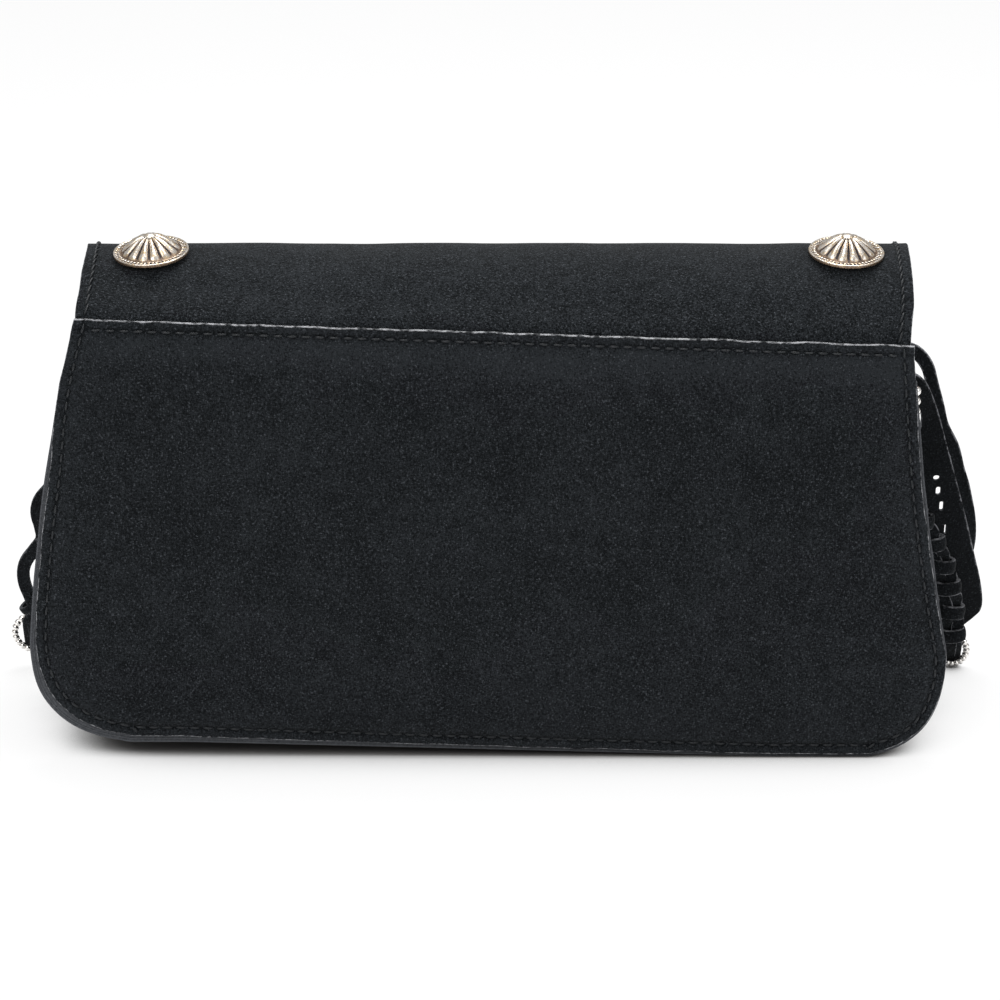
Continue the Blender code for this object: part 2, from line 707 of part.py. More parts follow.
for side in RING_R:
    x, z, radius = ring_at(side)
    middle = placed(x, ring_y(z, PLAIT_BACK if side == "right" else 0.0), z)
    ring = beaded_ring_mesh(f"ring_{side}", middle, radius, RING_BEAD_R, RING_BEAD_COUNT)
    add_object(f"ring_{side}", ring, SILVER, 1.0, 0.3)


# A short bar of beads, sewn upright behind the band's narrow neck.
def bead_bar_mesh(name, foot):
    bm = bmesh.new()
    loops = []
    for k in range(BAR_BEAD_COUNT * 4 + 1):
        swell = abs(math.sin(math.pi * k / 4)) ** 0.7
        radius = BAR_BEAD_R * (0.45 + 0.55 * swell)
        rise = Vector((0, 0, BAR_BEAD_PITCH * k / 4))
        turns = [2 * math.pi * j / 8 for j in range(8)]
        ring = [Vector((radius * math.cos(turn), radius * math.sin(turn), 0)) for turn in turns]
        loops.append([bm.verts.new(foot + rise + point) for point in ring])
    for low, high in zip(loops, loops[1:]):
        for j in range(8):
            bm.faces.new((low[j], low[(j + 1) % 8], high[(j + 1) % 8], high[j]))
    bm.faces.new(loops[0])
    bm.faces.new(loops[-1])
    return mesh_of(name, bm)


bar_middle_z = BAR_LOW_Z + BAR_BEAD_COUNT * BAR_BEAD_PITCH / 2
bar_foot = band_point(half_width(bar_middle_z, 1) + BAR_OUTSIDE, bar_middle_z)
bar_foot.y -= LACE_THICK / 2 + GAP + BAR_BEAD_R + BAR_CLEAR
bar_foot.z = BAR_LOW_Z
add_object("bead_bar_right", bead_bar_mesh("bead_bar_right", bar_foot), SILVER, 1.0, 0.35)
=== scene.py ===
"""The looks of a fringed suede bag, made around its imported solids.

Sizes are in bag space, as the solids have them: x from the bag's middle, y from the back panel's outer
face towards the fringed front, and z from the table. placed() moves a point of it to the frame.
"""

import json
import math

import bmesh
import bpy
import numpy as np
from mathutils import Matrix, Vector, kdtree, noise
from mathutils.bvhtree import BVHTree


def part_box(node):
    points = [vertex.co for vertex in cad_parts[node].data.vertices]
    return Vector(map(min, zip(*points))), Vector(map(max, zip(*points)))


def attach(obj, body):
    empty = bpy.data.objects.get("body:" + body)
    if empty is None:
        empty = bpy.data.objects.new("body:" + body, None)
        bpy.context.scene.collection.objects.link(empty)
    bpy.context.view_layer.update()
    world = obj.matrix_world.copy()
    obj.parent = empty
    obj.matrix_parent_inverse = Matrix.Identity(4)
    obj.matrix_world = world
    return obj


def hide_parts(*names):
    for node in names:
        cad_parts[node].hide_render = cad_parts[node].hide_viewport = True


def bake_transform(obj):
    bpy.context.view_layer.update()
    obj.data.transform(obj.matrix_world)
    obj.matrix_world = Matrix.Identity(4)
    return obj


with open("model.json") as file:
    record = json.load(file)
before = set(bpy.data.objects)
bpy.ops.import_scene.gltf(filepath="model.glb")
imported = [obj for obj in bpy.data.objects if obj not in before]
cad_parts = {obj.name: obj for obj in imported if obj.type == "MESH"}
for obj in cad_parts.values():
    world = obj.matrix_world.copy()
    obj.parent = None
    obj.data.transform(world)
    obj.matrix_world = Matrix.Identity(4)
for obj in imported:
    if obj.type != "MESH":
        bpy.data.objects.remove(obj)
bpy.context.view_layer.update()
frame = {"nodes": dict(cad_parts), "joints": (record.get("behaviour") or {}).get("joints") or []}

# The place of the bag: the solids' boxes give its middle and its back face, and the table lies at zero
# height.
# One suede is used for all of it, and pieces that touch keep a hair's gap.
MM = 0.001
SUEDE = 1.4 * MM
GAP = 0.3 * MM
back_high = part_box("back_panel")[1]
gusset_low, gusset_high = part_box("gusset")
MIDDLE_X = (gusset_low.x + gusset_high.x) / 2
BACK_Y = back_high.y - SUEDE


def placed(x, y, z):
    return Vector((MIDDLE_X + x, BACK_Y + y, z))


# The camera looks at the plain back from a little above, from some way off, so that the bag's sides
# run nearly straight. The frame's width is what the picture spans at the target.
VIEW_DOWN = math.radians(20)
VIEW_DISTANCE = 1.30
FRAME_WIDTH = 0.327
SENSOR_MM = 36
target = placed(3.8 * MM, 0, 92 * MM)
camera = bpy.data.objects.new("camera", bpy.data.cameras.new("camera"))
camera.data.sensor_width = SENSOR_MM
camera.data.lens = SENSOR_MM * VIEW_DISTANCE / FRAME_WIDTH
camera.location = target + VIEW_DISTANCE * Vector((0, -math.cos(VIEW_DOWN), math.sin(VIEW_DOWN)))
camera.rotation_euler = (target - camera.location).to_track_quat("-Z", "Y").to_euler()
bpy.context.scene.collection.objects.link(camera)
bpy.context.scene.camera = camera
bpy.context.scene.view_settings.view_transform = "Standard"


# Finishes are built with Python's own operators: a Value is a number that varies over a surface, and
# sums of Values add the Math nodes. Finish.node() adds any other node.
class Value:
    def __init__(self, finish, socket):
        self.finish = finish
        self.socket = socket

    def maths(self, operation, first, second):
        return self.finish.node("Math", {"operation": operation}, {0: first, 1: second})

    def __add__(self, other):
        return self.maths("ADD", self, other)

    def __sub__(self, other):
        return self.maths("SUBTRACT", self, other)

    def __rsub__(self, other):
        return self.maths("SUBTRACT", other, self)

    def __mul__(self, other):
        return self.maths("MULTIPLY", self, other)

    __radd__ = __add__
    __rmul__ = __mul__

    def between(self, low, high):
        """0 at low and below, 1 at high and above, with soft ends."""
        ranges = {"interpolation_type": "SMOOTHSTEP"}
        return self.finish.node("MapRange", ranges, {"Value": self, "From Min": low, "From Max": high})


class Finish:
    def __init__(self, name, **constants):
        self.material = bpy.data.materials.new(name)
        self.material.use_nodes = True
        self.tree = self.material.node_tree
        self.shader = self.tree.nodes["Principled BSDF"]
        for socket, value in constants.items():
            self.shader.inputs[socket.replace("_", " ").title().replace("Ior", "IOR")].default_value = value
        self.place = self.node("TexCoord", {}, {}, "Object")

    def node(self, kind, settings, sockets, output=0):
        made = self.tree.nodes.new("ShaderNode" + kind)
        for name, value in settings.items():
            setattr(made, name, value)
        for name, value in sockets.items():
            if isinstance(value, Value):
                self.tree.links.new(value.socket, made.inputs[name])
            else:
                made.inputs[name].default_value = value
        return Value(self, made.outputs[output])

    def noise(self, per_metre, detail=2.0, rough=0.5, stretch=None, turn=(0, 0, 0)):
        """Cloudy noise with so many lumps to the metre, stretched along some axes if asked."""
        place = self.place
        if stretch is not None:
            place = self.node("Mapping", {}, {"Vector": place, "Scale": stretch, "Rotation": turn})
        sockets = {"Vector": place, "Scale": per_metre, "Detail": detail, "Roughness": rough}
        return self.node("TexNoise", {}, sockets)

    def attribute(self, name):
        return self.node("Attribute", {"attribute_name": name}, {}, "Fac")

    def mix(self, share, first, second):
        return self.node("Mix", {"data_type": "RGBA"}, {0: share, 6: first, 7: second}, 2)

    def feed(self, socket, value):
        self.tree.links.new(value.socket, self.shader.inputs[socket])

    def bump(self, height, reach, strength=1.0):
        made = self.node("Bump", {}, {"Height": height, "Distance": reach, "Strength": strength}, "Normal")
        self.feed("Normal", made)


# The table top and the light: a plain white sweep with painted shadow where the bag covers it closely, as
# its colour and its glow darken with ambient occlusion, a wide soft light above the bag, weaker ones in
# front at the left and at the right, and white all round.
FLOOR_SIZE = 9.0
FLOOR_WHITE = (0.93, 0.93, 0.935, 1)
FLOOR_GLOW = 0.78
SHADE_REACH = 0.05
OPEN_SKY = (0.22, 0.72)
PAINTED_SHADOW_UNDER_BAG = (0.16, 0.155, 0.15, 1)
WORLD_LIGHT = 0.50
LAMPS = {
    "key": ((-0.75, -1.15, 1.25), 1.1, 9.5),
    "top": ((0.10, 0.15, 1.35), 1.0, 17.0),
    "side": ((1.10, -0.75, 0.75), 0.8, 3.0),
}
LAMPS_AIM = Vector((0, 0, 0.08))


def in_scene(name, bm):
    """An object of this shape, in the scene under this name."""
    mesh = bpy.data.meshes.new(name)
    bm.to_mesh(mesh)
    bm.free()
    obj = bpy.data.objects.new(name, mesh)
    bpy.context.scene.collection.objects.link(obj)
    return obj


floor_bm = bmesh.new()
bmesh.ops.create_grid(floor_bm, x_segments=1, y_segments=1, size=FLOOR_SIZE / 2)
floor = in_scene("table_top", floor_bm)
floor_finish = Finish("white_table_top", base_color=FLOOR_WHITE, roughness=0.9)
seen = floor_finish.node("LightPath", {}, {}, "Is Camera Ray")
open_sky = floor_finish.node("AmbientOcclusion", {"samples": 24}, {"Distance": SHADE_REACH}, "AO")
glow = floor_finish.node("Emission", {}, {"Color": (1, 1, 1, 1), "Strength": 1.0})
lit = Value(floor_finish, floor_finish.shader.outputs[0])
# Painted shadow: where ambient occlusion finds the bag close above, the floor's colour turns dark grey and
# its white glow to the camera fades.
shaded = open_sky.between(*OPEN_SKY)
floor_finish.feed("Base Color", floor_finish.mix(shaded, PAINTED_SHADOW_UNDER_BAG, FLOOR_WHITE))
table = floor_finish.node("MixShader", {}, {0: seen * shaded * FLOOR_GLOW, 1: lit, 2: glow})
floor_finish.tree.links.new(table.socket, floor_finish.tree.nodes["Material Output"].inputs["Surface"])
floor.data.materials.append(floor_finish.material)

world = bpy.data.worlds.new("white_room")
bpy.context.scene.world = world
world.use_nodes = True
world_tree = world.node_tree
paths = world_tree.nodes.new("ShaderNodeLightPath")
room = world_tree.nodes.new("ShaderNodeMapRange")
room.inputs["To Min"].default_value = WORLD_LIGHT
world_tree.links.new(paths.outputs["Is Camera Ray"], room.inputs["Value"])
world_tree.nodes["Background"].inputs["Color"].default_value = (1, 1, 1, 1)
world_tree.links.new(room.outputs[0], world_tree.nodes["Background"].inputs["Strength"])

for lamp_name, (lamp_place, lamp_size, lamp_watts) in LAMPS.items():
    lamp = bpy.data.objects.new(lamp_name, bpy.data.lights.new(lamp_name, "AREA"))
    lamp.data.shape = "DISK"
    lamp.data.size = lamp_size
    lamp.data.energy = lamp_watts
    lamp.location = lamp_place
    lamp.rotation_euler = (LAMPS_AIM - lamp.location).to_track_quat("-Z", "Y").to_euler()
    bpy.context.scene.collection.objects.link(lamp)


# The back panel: one piece of black suede with raw cut edges, sewn over the flap's rear edge along its
# top, and to the gusset's out-turned margin round the other three sides. It is a little puffed, and
# the thread pulls it down along the seam.
WIDE_HALF = (gusset_high.x - gusset_low.x) / 2
SEAM_LEFT_Z = back_high.z
SEAM_RIGHT_Z = 144.6 * MM
TOP_LEFT = 133.2 * MM
TOP_RIGHT = 137.4 * MM
WIDE_Z = 38 * MM
CORNER_LEFT = 41 * MM
CORNER_RIGHT = 32 * MM
CORNER_POWER = 2.5
CORNER_END = 0.985
BOW_LEFT = -0.6
BOW_RIGHT = 0.5
LEFT_LIFT = 5.2 * MM
LIFT_FULL_X = -100 * MM
LIFT_END_X = 95 * MM
GUSSET_TOP_Z = 132 * MM
EDGE_SHOWS_LEFT = 2.2 * MM
EDGE_SHOWS_RIGHT = 0.4 * MM
EDGE_SHOWS_BELOW = 2.2 * MM
EDGE_SHOWS_SLANT = 0.7 * MM
EDGE_FADES = 40 * MM
PILLOW = 3.0 * MM
SEAM_ROW = 3.2 * MM
EDGE_ROW = 3.3 * MM
STITCH_PITCH = 4.5 * MM
STITCH_SHARE = 0.80
STITCH_UNEVEN = 0.16 * MM
THREAD_R = 0.42 * MM
SUEDE_DARK = (0.0018, 0.0026, 0.0033, 1)
SUEDE_LIGHT = (0.0178, 0.0205, 0.0235, 1)
SUEDE_FLECK = (0.050, 0.055, 0.062, 1)
CUT_EDGE = (0.33, 0.335, 0.35, 1)


def smooth_step(value):
    value = min(max(value, 0.0), 1.0)
    return value * value * (3 - 2 * value)


def seam_z(x):
    """The back panel's raw top edge, which slants a little."""
    return SEAM_LEFT_Z + (SEAM_RIGHT_Z - SEAM_LEFT_Z) * (x + TOP_LEFT) / (TOP_LEFT + TOP_RIGHT)


def back_bottom_z(x):
    """The bottom seam rises towards the left, where the bag's rear is off the table."""
    share = (LIFT_END_X - x) / (LIFT_END_X - LIFT_FULL_X)
    return LEFT_LIFT * min(max(share, 0.0), 1.0)


def half_width(z, side):
    """From the middle to the outer edge on the left (side -1) or on the right (side 1).

    A lower corner's curve stops a little short of its end, so that its last bit is upright.
    """
    if z >= WIDE_Z:
        share = (z - WIDE_Z) / (SEAM_LEFT_Z - WIDE_Z)
        top, bow = (TOP_LEFT, BOW_LEFT) if side < 0 else (TOP_RIGHT, BOW_RIGHT)
        return WIDE_HALF - (WIDE_HALF - top) * share * (1 + bow * (1 - share))
    drop = min((WIDE_Z - z) / WIDE_Z, CORNER_END)
    corner = CORNER_LEFT if side < 0 else CORNER_RIGHT
    return WIDE_HALF - corner * (1 - (1 - drop ** CORNER_POWER) ** (1 / CORNER_POWER))


def crowded(share, crowding=0.72):
    """From -1 to 1 as share goes from 0 to 1, with the steps closer together at both ends."""
    t = 2 * share - 1
    return (1 - crowding) * t + crowding * math.sin(math.pi / 2 * t)


def panel_point(u, v, top_of, bottom_of, y_of, pillow):
    """A point of a sewn panel, u from left to right and v from its bottom edge to its top edge."""
    across = crowded(u)
    up = (crowded(v) + 1) / 2
    level = SEAM_LEFT_Z * up
    fade = smooth_step((GUSSET_TOP_Z - level) / EDGE_FADES)
    shows = EDGE_SHOWS_LEFT if across < 0 else EDGE_SHOWS_RIGHT
    x = across * (half_width(level, math.copysign(1, across)) - shows * fade)
    low = bottom_of(x) + EDGE_SHOWS_BELOW - EDGE_SHOWS_SLANT * across
    z = low + (top_of(x) - low) * up
    swell = max((1 - across * across) * math.sin(math.pi * min(up * 1.04, 1.0)), 0.0) ** 0.6
    return placed(x, y_of(z) + pillow * swell * (1 - across * across) ** 0.4, z)


def grid_sheet(columns, rows, point_of, towards):
    """A bmesh grid whose point at u, v (from 0 to 1) is point_of(u, v), its faces looking towards."""
    bm = bmesh.new()
    bmesh.ops.create_grid(bm, x_segments=columns, y_segments=rows, size=0.5)
    for vert in bm.verts:
        vert.co = point_of(min(max(vert.co.x + 0.5, 0), 1), min(max(vert.co.y + 0.5, 0), 1))
    bm.normal_update()
    bm.faces.ensure_lookup_table()
    if bm.faces[len(bm.faces) // 2].normal.dot(Vector(towards)) < 0:
        bmesh.ops.reverse_faces(bm, faces=bm.faces)
    bm.normal_update()
    return bm


def distances(bm, edges):
    """How far each vertex lies from these edges."""
    samples = []
    for edge in edges:
        a, b = (vert.co for vert in edge.verts)
        samples += [a.lerp(b, share) for share in (0, 0.25, 0.5, 0.75)]
    tree = kdtree.KDTree(len(samples))
    for k, sample in enumerate(samples):
        tree.insert(sample, k)
    tree.balance()
    return [tree.find(vert.co)[2] for vert in bm.verts]


def seam_relief(distance, row, depth=0.40 * MM, puff=0.9 * MM, reach=5.0 * MM):
    """A row of stitches pulls the suede down, and inside it the suede puffs up."""
    groove = -depth * math.exp(-(((distance - row) / (0.85 * MM)) ** 2))
    return groove + puff * (1 - math.exp(-max(distance - row, 0) / reach))


def finish_sheet(name, bm, finish, body, thick=SUEDE, bevel=0.25 * MM):
    """Gives the sheet its object and material, and its thickness and soft edges."""
    obj = in_scene(name, bm)
    obj.data.materials.append(finish.material)
    solid = obj.modifiers.new("thickness", "SOLIDIFY")
    solid.thickness = thick
    solid.offset = 0
    solid.use_even_offset = True
    soft = obj.modifiers.new("soft edges", "BEVEL")
    soft.width = bevel
    soft.segments = 2
    soft.limit_method = "ANGLE"
    soft.angle_limit = math.radians(50)
    return set_shape(obj, body)


def set_shape(obj, body=None):
    """Applies what was added to the piece, so that its mesh is final, and lets it ride."""
    graph = bpy.context.evaluated_depsgraph_get()
    mesh = bpy.data.meshes.new_from_object(obj.evaluated_get(graph))
    obj.modifiers.clear()
    obj.data = mesh
    mesh.shade_smooth()
    mesh.set_sharp_from_angle(angle=math.radians(60))
    if body:
        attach(obj, body)
    return obj


def suede(name, light=0.93, edge_width=0.19, cut=CUT_EDGE, layered=False, coarse=1.0):
    """Brushed black suede: clouded nap, crossed short fibres, pale flecks, and a paler fuzzy cut edge."""
    made = Finish(name, roughness=0.95, specular_ior_level=0.10, sheen_weight=0.06, sheen_roughness=0.5)
    cloud = made.noise(24, 3.0, 0.55)
    brushed = made.noise(150, 3.0, 0.60)
    grain = made.noise(1500, 2.0, 0.65)
    one_way = made.noise(2500, 1.0, 0.5, (1, 1, 0.40), (0.5, 0.6, 0.3))
    other_way = made.noise(2700, 1.0, 0.5, (0.40, 1, 1), (0.2, 0.5, 0.8))
    fibres = one_way + other_way - 1
    tone = cloud * 0.55 + (brushed * 0.60 + grain * 1.7 + fibres * 1.35 - 1.15) * coarse + 0.225
    # The vertex attribute adds paler patches, painted shade in the stitch grooves and, on the flap, a
    # little painted light.
    tone = tone + made.attribute("lift_and_painted_groove_shade")
    nap = made.mix(tone.between(0.0, 1.05) * light, SUEDE_DARK, SUEDE_LIGHT)
    flecks = (fibres + grain * 0.6 - 0.3).between(0.19, 0.40) * light * coarse
    flecked = made.mix(flecks, nap, SUEDE_FLECK)
    edge = made.attribute("edge") * 1000
    fuzz = made.noise(900, 3.0, 0.7)
    ragged = 1 - (edge + (fuzz - 0.5) * 3.0 * edge_width).between(edge_width * 0.3, edge_width * 1.5)
    pale = ragged * made.noise(330, 3.0, 0.7).between(0.36, 0.62)
    if layered:
        layers = {"W": edge * 3.2 + cloud * 1.2, "Scale": 1.0, "Detail": 3.0}
        streaks = made.node("TexNoise", {"noise_dimensions": "1D"}, layers).between(0.30, 0.70)
        pale = (1 - edge.between(edge_width, edge_width * 1.8)) * (streaks * 0.60 + fuzz * 0.90 - 0.18)
    made.feed("Base Color", made.mix(pale, flecked, cut))
    made.bump(grain * 0.5 + fibres * 0.4 + brushed * 0.4 + fuzz * ragged, 0.40 * MM, 0.7)
    return made


def thread(name="black_waxed_thread"):
    """Waxed black thread, a little shiny, with its twist as fine ridges."""
    made = Finish(name, base_color=(0.0065, 0.0085, 0.0105, 1), specular_ior_level=0.36)
    twist = made.noise(2400, 1.0, 0.5, (1, 1, 2.0), (0.6, 0.6, 0.6))
    made.feed("Roughness", 0.30 + twist * 0.25)
    made.bump(twist, 0.12 * MM, 0.8)
    return made


PANEL_SUEDE = suede("panel_suede")
THREAD = thread()


def back_point(u, v):
    return panel_point(u, v, seam_z, back_bottom_z, lambda z: SUEDE / 2, -PILLOW)


def shape_panel(bm, top_of, waviness=0.38 * MM, puff=1.0 * MM):
    """Stitch grooves, puffing and an uneven hand-cut edge, and the distance to it for the finish."""
    rim = [edge for edge in bm.edges if edge.is_boundary]
    along_top = [
        edge for edge in rim
        if all(abs(vert.co.z - top_of(vert.co.x - MIDDLE_X)) < 0.01 * MM for vert in edge.verts)
    ]
    others = [edge for edge in rim if edge not in along_top]
    from_top, from_others = distances(bm, along_top), distances(bm, others)
    edge_layer = bm.verts.layers.float.new("edge")
    lift_and_shade_layer = bm.verts.layers.float.new("lift_and_painted_groove_shade")
    bm.normal_update()
    for vert, top, side in zip(bm.verts, from_top, from_others):
        vert[edge_layer] = min(top, side)
        # The nap is made paler about 8 mm below the top seam and along the side edges, and darker along the
        # stitch rows as painted shade in their grooves.
        groove = math.exp(-(((top - SEAM_ROW) / MM) ** 2)) + math.exp(-(((side - EDGE_ROW) / MM) ** 2))
        lightened = math.exp(-(((top - 8 * MM) / (6 * MM)) ** 2)) + math.exp(-((side / (9 * MM)) ** 2)) * 0.6
        vert[lift_and_shade_layer] = 0.30 * min(lightened, 1.0) - 0.40 * min(groove, 1.0)
        rise = min(
            seam_relief(top, SEAM_ROW, puff=puff), seam_relief(side, EDGE_ROW, puff=puff)
        )
        dents = noise.noise(vert.co * 38) * 0.35 * MM + noise.noise(vert.co * 95) * 0.12 * MM
        inside = smooth_step(min(top, side) / (14 * MM))
        near = max(1 - min(top, side) / (5 * MM), 0.0)
        wave = Vector((noise.noise(vert.co * 120), 0, noise.noise(vert.co * 120 + Vector((9, 9, 9)))))
        vert.co += vert.normal * (rise + dents * inside) + wave * waviness * near
    return bm


back_bm = shape_panel(grid_sheet(200, 116, back_point, (0, -1, 0)), seam_z)
back_tree = BVHTree.FromBMesh(back_bm)
back_panel = finish_sheet("back_panel_suede", back_bm, PANEL_SUEDE, "bag")
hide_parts("back_panel")


def offset_line(points, inward):
    """The flat line (x, z) moved sideways, to the left of its direction."""
    moved = []
    for k, (x, z) in enumerate(points):
        before, after = points[max(k - 1, 0)], points[min(k + 1, len(points) - 1)]
        along = Vector((after[0] - before[0], after[1] - before[1])).normalized()
        moved.append((x - along.y * inward, z + along.x * inward))
    return moved


def evenly(points, pitch):
    """Points spaced by about one pitch along the line, with whole steps from end to end."""
    line = np.array(points)
    along = np.concatenate([[0], np.cumsum(np.linalg.norm(np.diff(line, axis=0), axis=1))])
    count = max(round(along[-1] / pitch), 1)
    stops = np.linspace(0, along[-1], count + 1)
    return [tuple(np.interp(stop, along, line[:, k]) for k in range(line.shape[1])) for stop in stops]


def add_stitch(bm, start, end, out, radius=THREAD_R, arch=0.55 * MM, sink=0.35 * MM):
    """One stitch: a short bent bit of thread, whose ends go down into their holes."""
    made = bmesh.ops.create_uvsphere(bm, u_segments=7, v_segments=9, radius=1.0)["verts"]
    middle, half = (start + end) / 2, (end - start) / 2
    across = half.cross(out).normalized()
    for vert in made:
        t = vert.co.z
        girth = math.sqrt(max(1 - t * t, 0))
        full = max(1 - t ** 6, 0) ** 0.5
        around = Vector((vert.co.x, vert.co.y)) / girth if girth > 1e-6 else Vector((0, 0))
        lift = arch * (1 - t * t) - sink * t ** 4
        vert.co = middle + half * t + out * lift + (across * around.x + out * around.y) * radius * full


def stitch_row(bm, line, out, seed):
    """Stitches between neighbouring points of the line, each a little uneven."""
    for k, (a, b) in enumerate(zip(line, line[1:])):
        start, end = Vector(a), Vector(b)
        side = (end - start).cross(out).normalized()
        uneven = noise.noise(Vector((k * 7.3 + seed, 0.5, 0.5)))
        gap = (end - start) * (1 - STITCH_SHARE) / 2
        tilt = side * uneven * STITCH_UNEVEN
        add_stitch(bm, start + gap + tilt, end - gap - tilt, out)


def smooth_piece(name, bm, body, finish):
    """Gives thread or cast metal, whose shape is already whole, its object and material."""
    obj = in_scene(name, bm)
    obj.data.shade_smooth()
    obj.data.materials.append(finish.material)
    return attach(obj, body)


def panel_rim(point_of, steps=160):
    """The panel's left side, bottom and right side as one flat line, and its top from left to right."""
    shares = [k / steps for k in range(steps + 1)]
    down = [point_of(0, 1 - share) for share in shares]
    below = [point_of(share, 0) for share in shares]
    up = [point_of(1, share) for share in shares]
    round_it = [(p.x - MIDDLE_X, p.z) for p in down + below[1:] + up[1:]]
    top = [(p.x - MIDDLE_X, p.z) for p in (point_of(share, 1) for share in shares)]
    return round_it, top


def on_panel(tree, line, towards):
    """The points of a flat line dropped onto the panel's outer face."""
    far = -Vector(towards) * 0.3
    found = []
    for x, z in line:
        start = placed(x, 0, z) - far
        hit = tree.ray_cast(start, -Vector(towards))
        if hit[0] is not None:
            found.append(tuple(hit[0] + Vector(towards) * SUEDE / 2))
    return found


def sew_panel(name, point_of, tree, towards):
    """One row of stitches round the sides and the bottom, and one along the top."""
    bm = bmesh.new()
    rim, top = panel_rim(point_of)
    row = evenly(offset_line(rim, EDGE_ROW), STITCH_PITCH)
    stitch_row(bm, on_panel(tree, row, towards), Vector(towards), seed=3)
    row = [(x, z - SEAM_ROW) for x, z in evenly(top, STITCH_PITCH)]
    stitch_row(bm, on_panel(tree, row[1:-1], towards), Vector(towards), seed=70)
    return smooth_piece(name, bm, "bag", THREAD)


back_thread = sew_panel("back_stitches", back_point, back_tree, (0, -1, 0))


# The front panel: the same piece of suede for the front, hidden behind the flap's fringe. Its top edge
# is the mouth's front lip.
FRONT_TOP_Z = 133 * MM
FRONT_Y_TOP = 52.4 * MM
FRONT_Y_SWELL = 13 * MM
FRONT_SWELL_Z = 62 * MM


def front_y(z):
    """The front panel's outer face: the bag is deeper at the bottom."""
    drop = max(FRONT_TOP_Z + 1 * MM - z, 0.0) / FRONT_SWELL_Z
    return FRONT_Y_TOP + FRONT_Y_SWELL * (1 - math.exp(-(drop ** 1.8)))


def front_point(u, v):
    return panel_point(u, v, lambda x: FRONT_TOP_Z, lambda x: 0.0, lambda z: front_y(z) - SUEDE / 2, 0.0)


front_bm = shape_panel(
    grid_sheet(150, 90, front_point, (0, 1, 0)), lambda x: FRONT_TOP_Z, puff=0.3 * MM
)
front_tree = BVHTree.FromBMesh(front_bm)
front_panel = finish_sheet("front_panel_suede", front_bm, PANEL_SUEDE, "bag")
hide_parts("front_panel")
front_thread = sew_panel("front_stitches", front_point, front_tree, (0, 1, 0))


# The gusset: one long strip of suede down one side, along the bottom and up the other side. Its two
# margins turn outwards along the panels, and their cut edges show past the back panel, grey and fibrous.
MARGIN = 7.0 * MM
MARGIN_BEND = 0.8 * MM
FOLD_SHARE = 0.085
PINCH = 5.0 * MM
SAG = 1.5 * MM
MARGIN_GREY = (0.11, 0.115, 0.125, 1)


def outline(bottom_of):
    """The gusset's outer line (x, z): down the left side, round the bottom, and up the right side."""
    steps = [k / 60 for k in range(61)]
    levels = [WIDE_Z * (1 - math.cos(math.pi / 2 * step)) for step in steps]
    levels += [WIDE_Z + (GUSSET_TOP_Z - WIDE_Z) * step for step in steps[1:]]
    left = [(-half_width(z, -1), z) for z in reversed(levels)]
    start, end = -half_width(0, -1), half_width(0, 1)
    middle = [(start + (end - start) * step, 0.0) for step in steps[1:-1]]
    right = [(half_width(z, 1), z) for z in levels]
    fade = 1 / (2 * WIDE_Z)
    lifted = [(x, z + bottom_of(x) * max(1 - z * fade, 0.0)) for x, z in left + middle + right]
    return evenly(lifted, 2 * MM)


BACK_LINE = outline(back_bottom_z)
FRONT_LINE = outline(lambda x: 0.0)
GUSSET_STEPS = 260


def line_at(line, share, inward):
    """A point of the line, moved inwards. The line runs anticlockwise seen from the back."""
    place = share * (len(line) - 1)
    k = min(int(place), len(line) - 2)
    x, z = (line[k][j] + (line[k + 1][j] - line[k][j]) * (place - k) for j in (0, 1))
    before, after = line[max(k - 2, 0)], line[min(k + 3, len(line) - 1)]
    along = Vector((after[0] - before[0], after[1] - before[1])).normalized()
    return x - along.y * inward, z + along.x * inward


def gusset_point(u, v):
    """u runs round the bag and v across the strip, from the rear margin's edge to the front one's."""
    x, z = line_at(BACK_LINE, u, 0)
    upright = smooth_step(z / (2 * WIDE_Z))
    near = SUEDE + GAP + SUEDE / 2
    wall = min(max((v - FOLD_SHARE) / (1 - 2 * FOLD_SHARE), 0.0), 1.0)
    bow = (PINCH * upright - SAG * (1 - upright)) * math.sin(math.pi * wall)
    turned = min(min(v, 1 - v) / FOLD_SHARE, 1.0)
    inward = (MARGIN + MARGIN_BEND) * turned ** 0.9 + bow
    xb, zb = line_at(BACK_LINE, u, inward)
    xf, zf = line_at(FRONT_LINE, u, inward)
    far = front_y(zf) - SUEDE - GAP - SUEDE / 2
    share = smooth_step(wall) * 0.35 + wall * 0.65
    return placed(xb + (xf - xb) * share, near + (far - near) * share, zb + (zf - zb) * share)


gusset_bm = grid_sheet(GUSSET_STEPS, 60, gusset_point, (0, 0, -1))
gusset_rim = [edge for edge in gusset_bm.edges if edge.is_boundary]
gusset_edge = gusset_bm.verts.layers.float.new("edge")
for vert, distance in zip(gusset_bm.verts, distances(gusset_bm, gusset_rim)):
    vert[gusset_edge] = distance
    crease = noise.noise(Vector((vert.co.x * 60, vert.co.y * 20, vert.co.z * 60))) * 0.4 * MM
    vert.co += vert.normal * crease * smooth_step((distance - 8 * MM) / (8 * MM))
    if distance < 3 * MM:
        wave = noise.noise(vert.co * 90)
        vert.co.x += wave * 0.2 * MM
gusset_suede = suede("gusset_suede", 1.0, edge_width=2.8, cut=MARGIN_GREY, layered=True)
gusset = finish_sheet("gusset_suede_strip", gusset_bm, gusset_suede, "bag")
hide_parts("gusset")


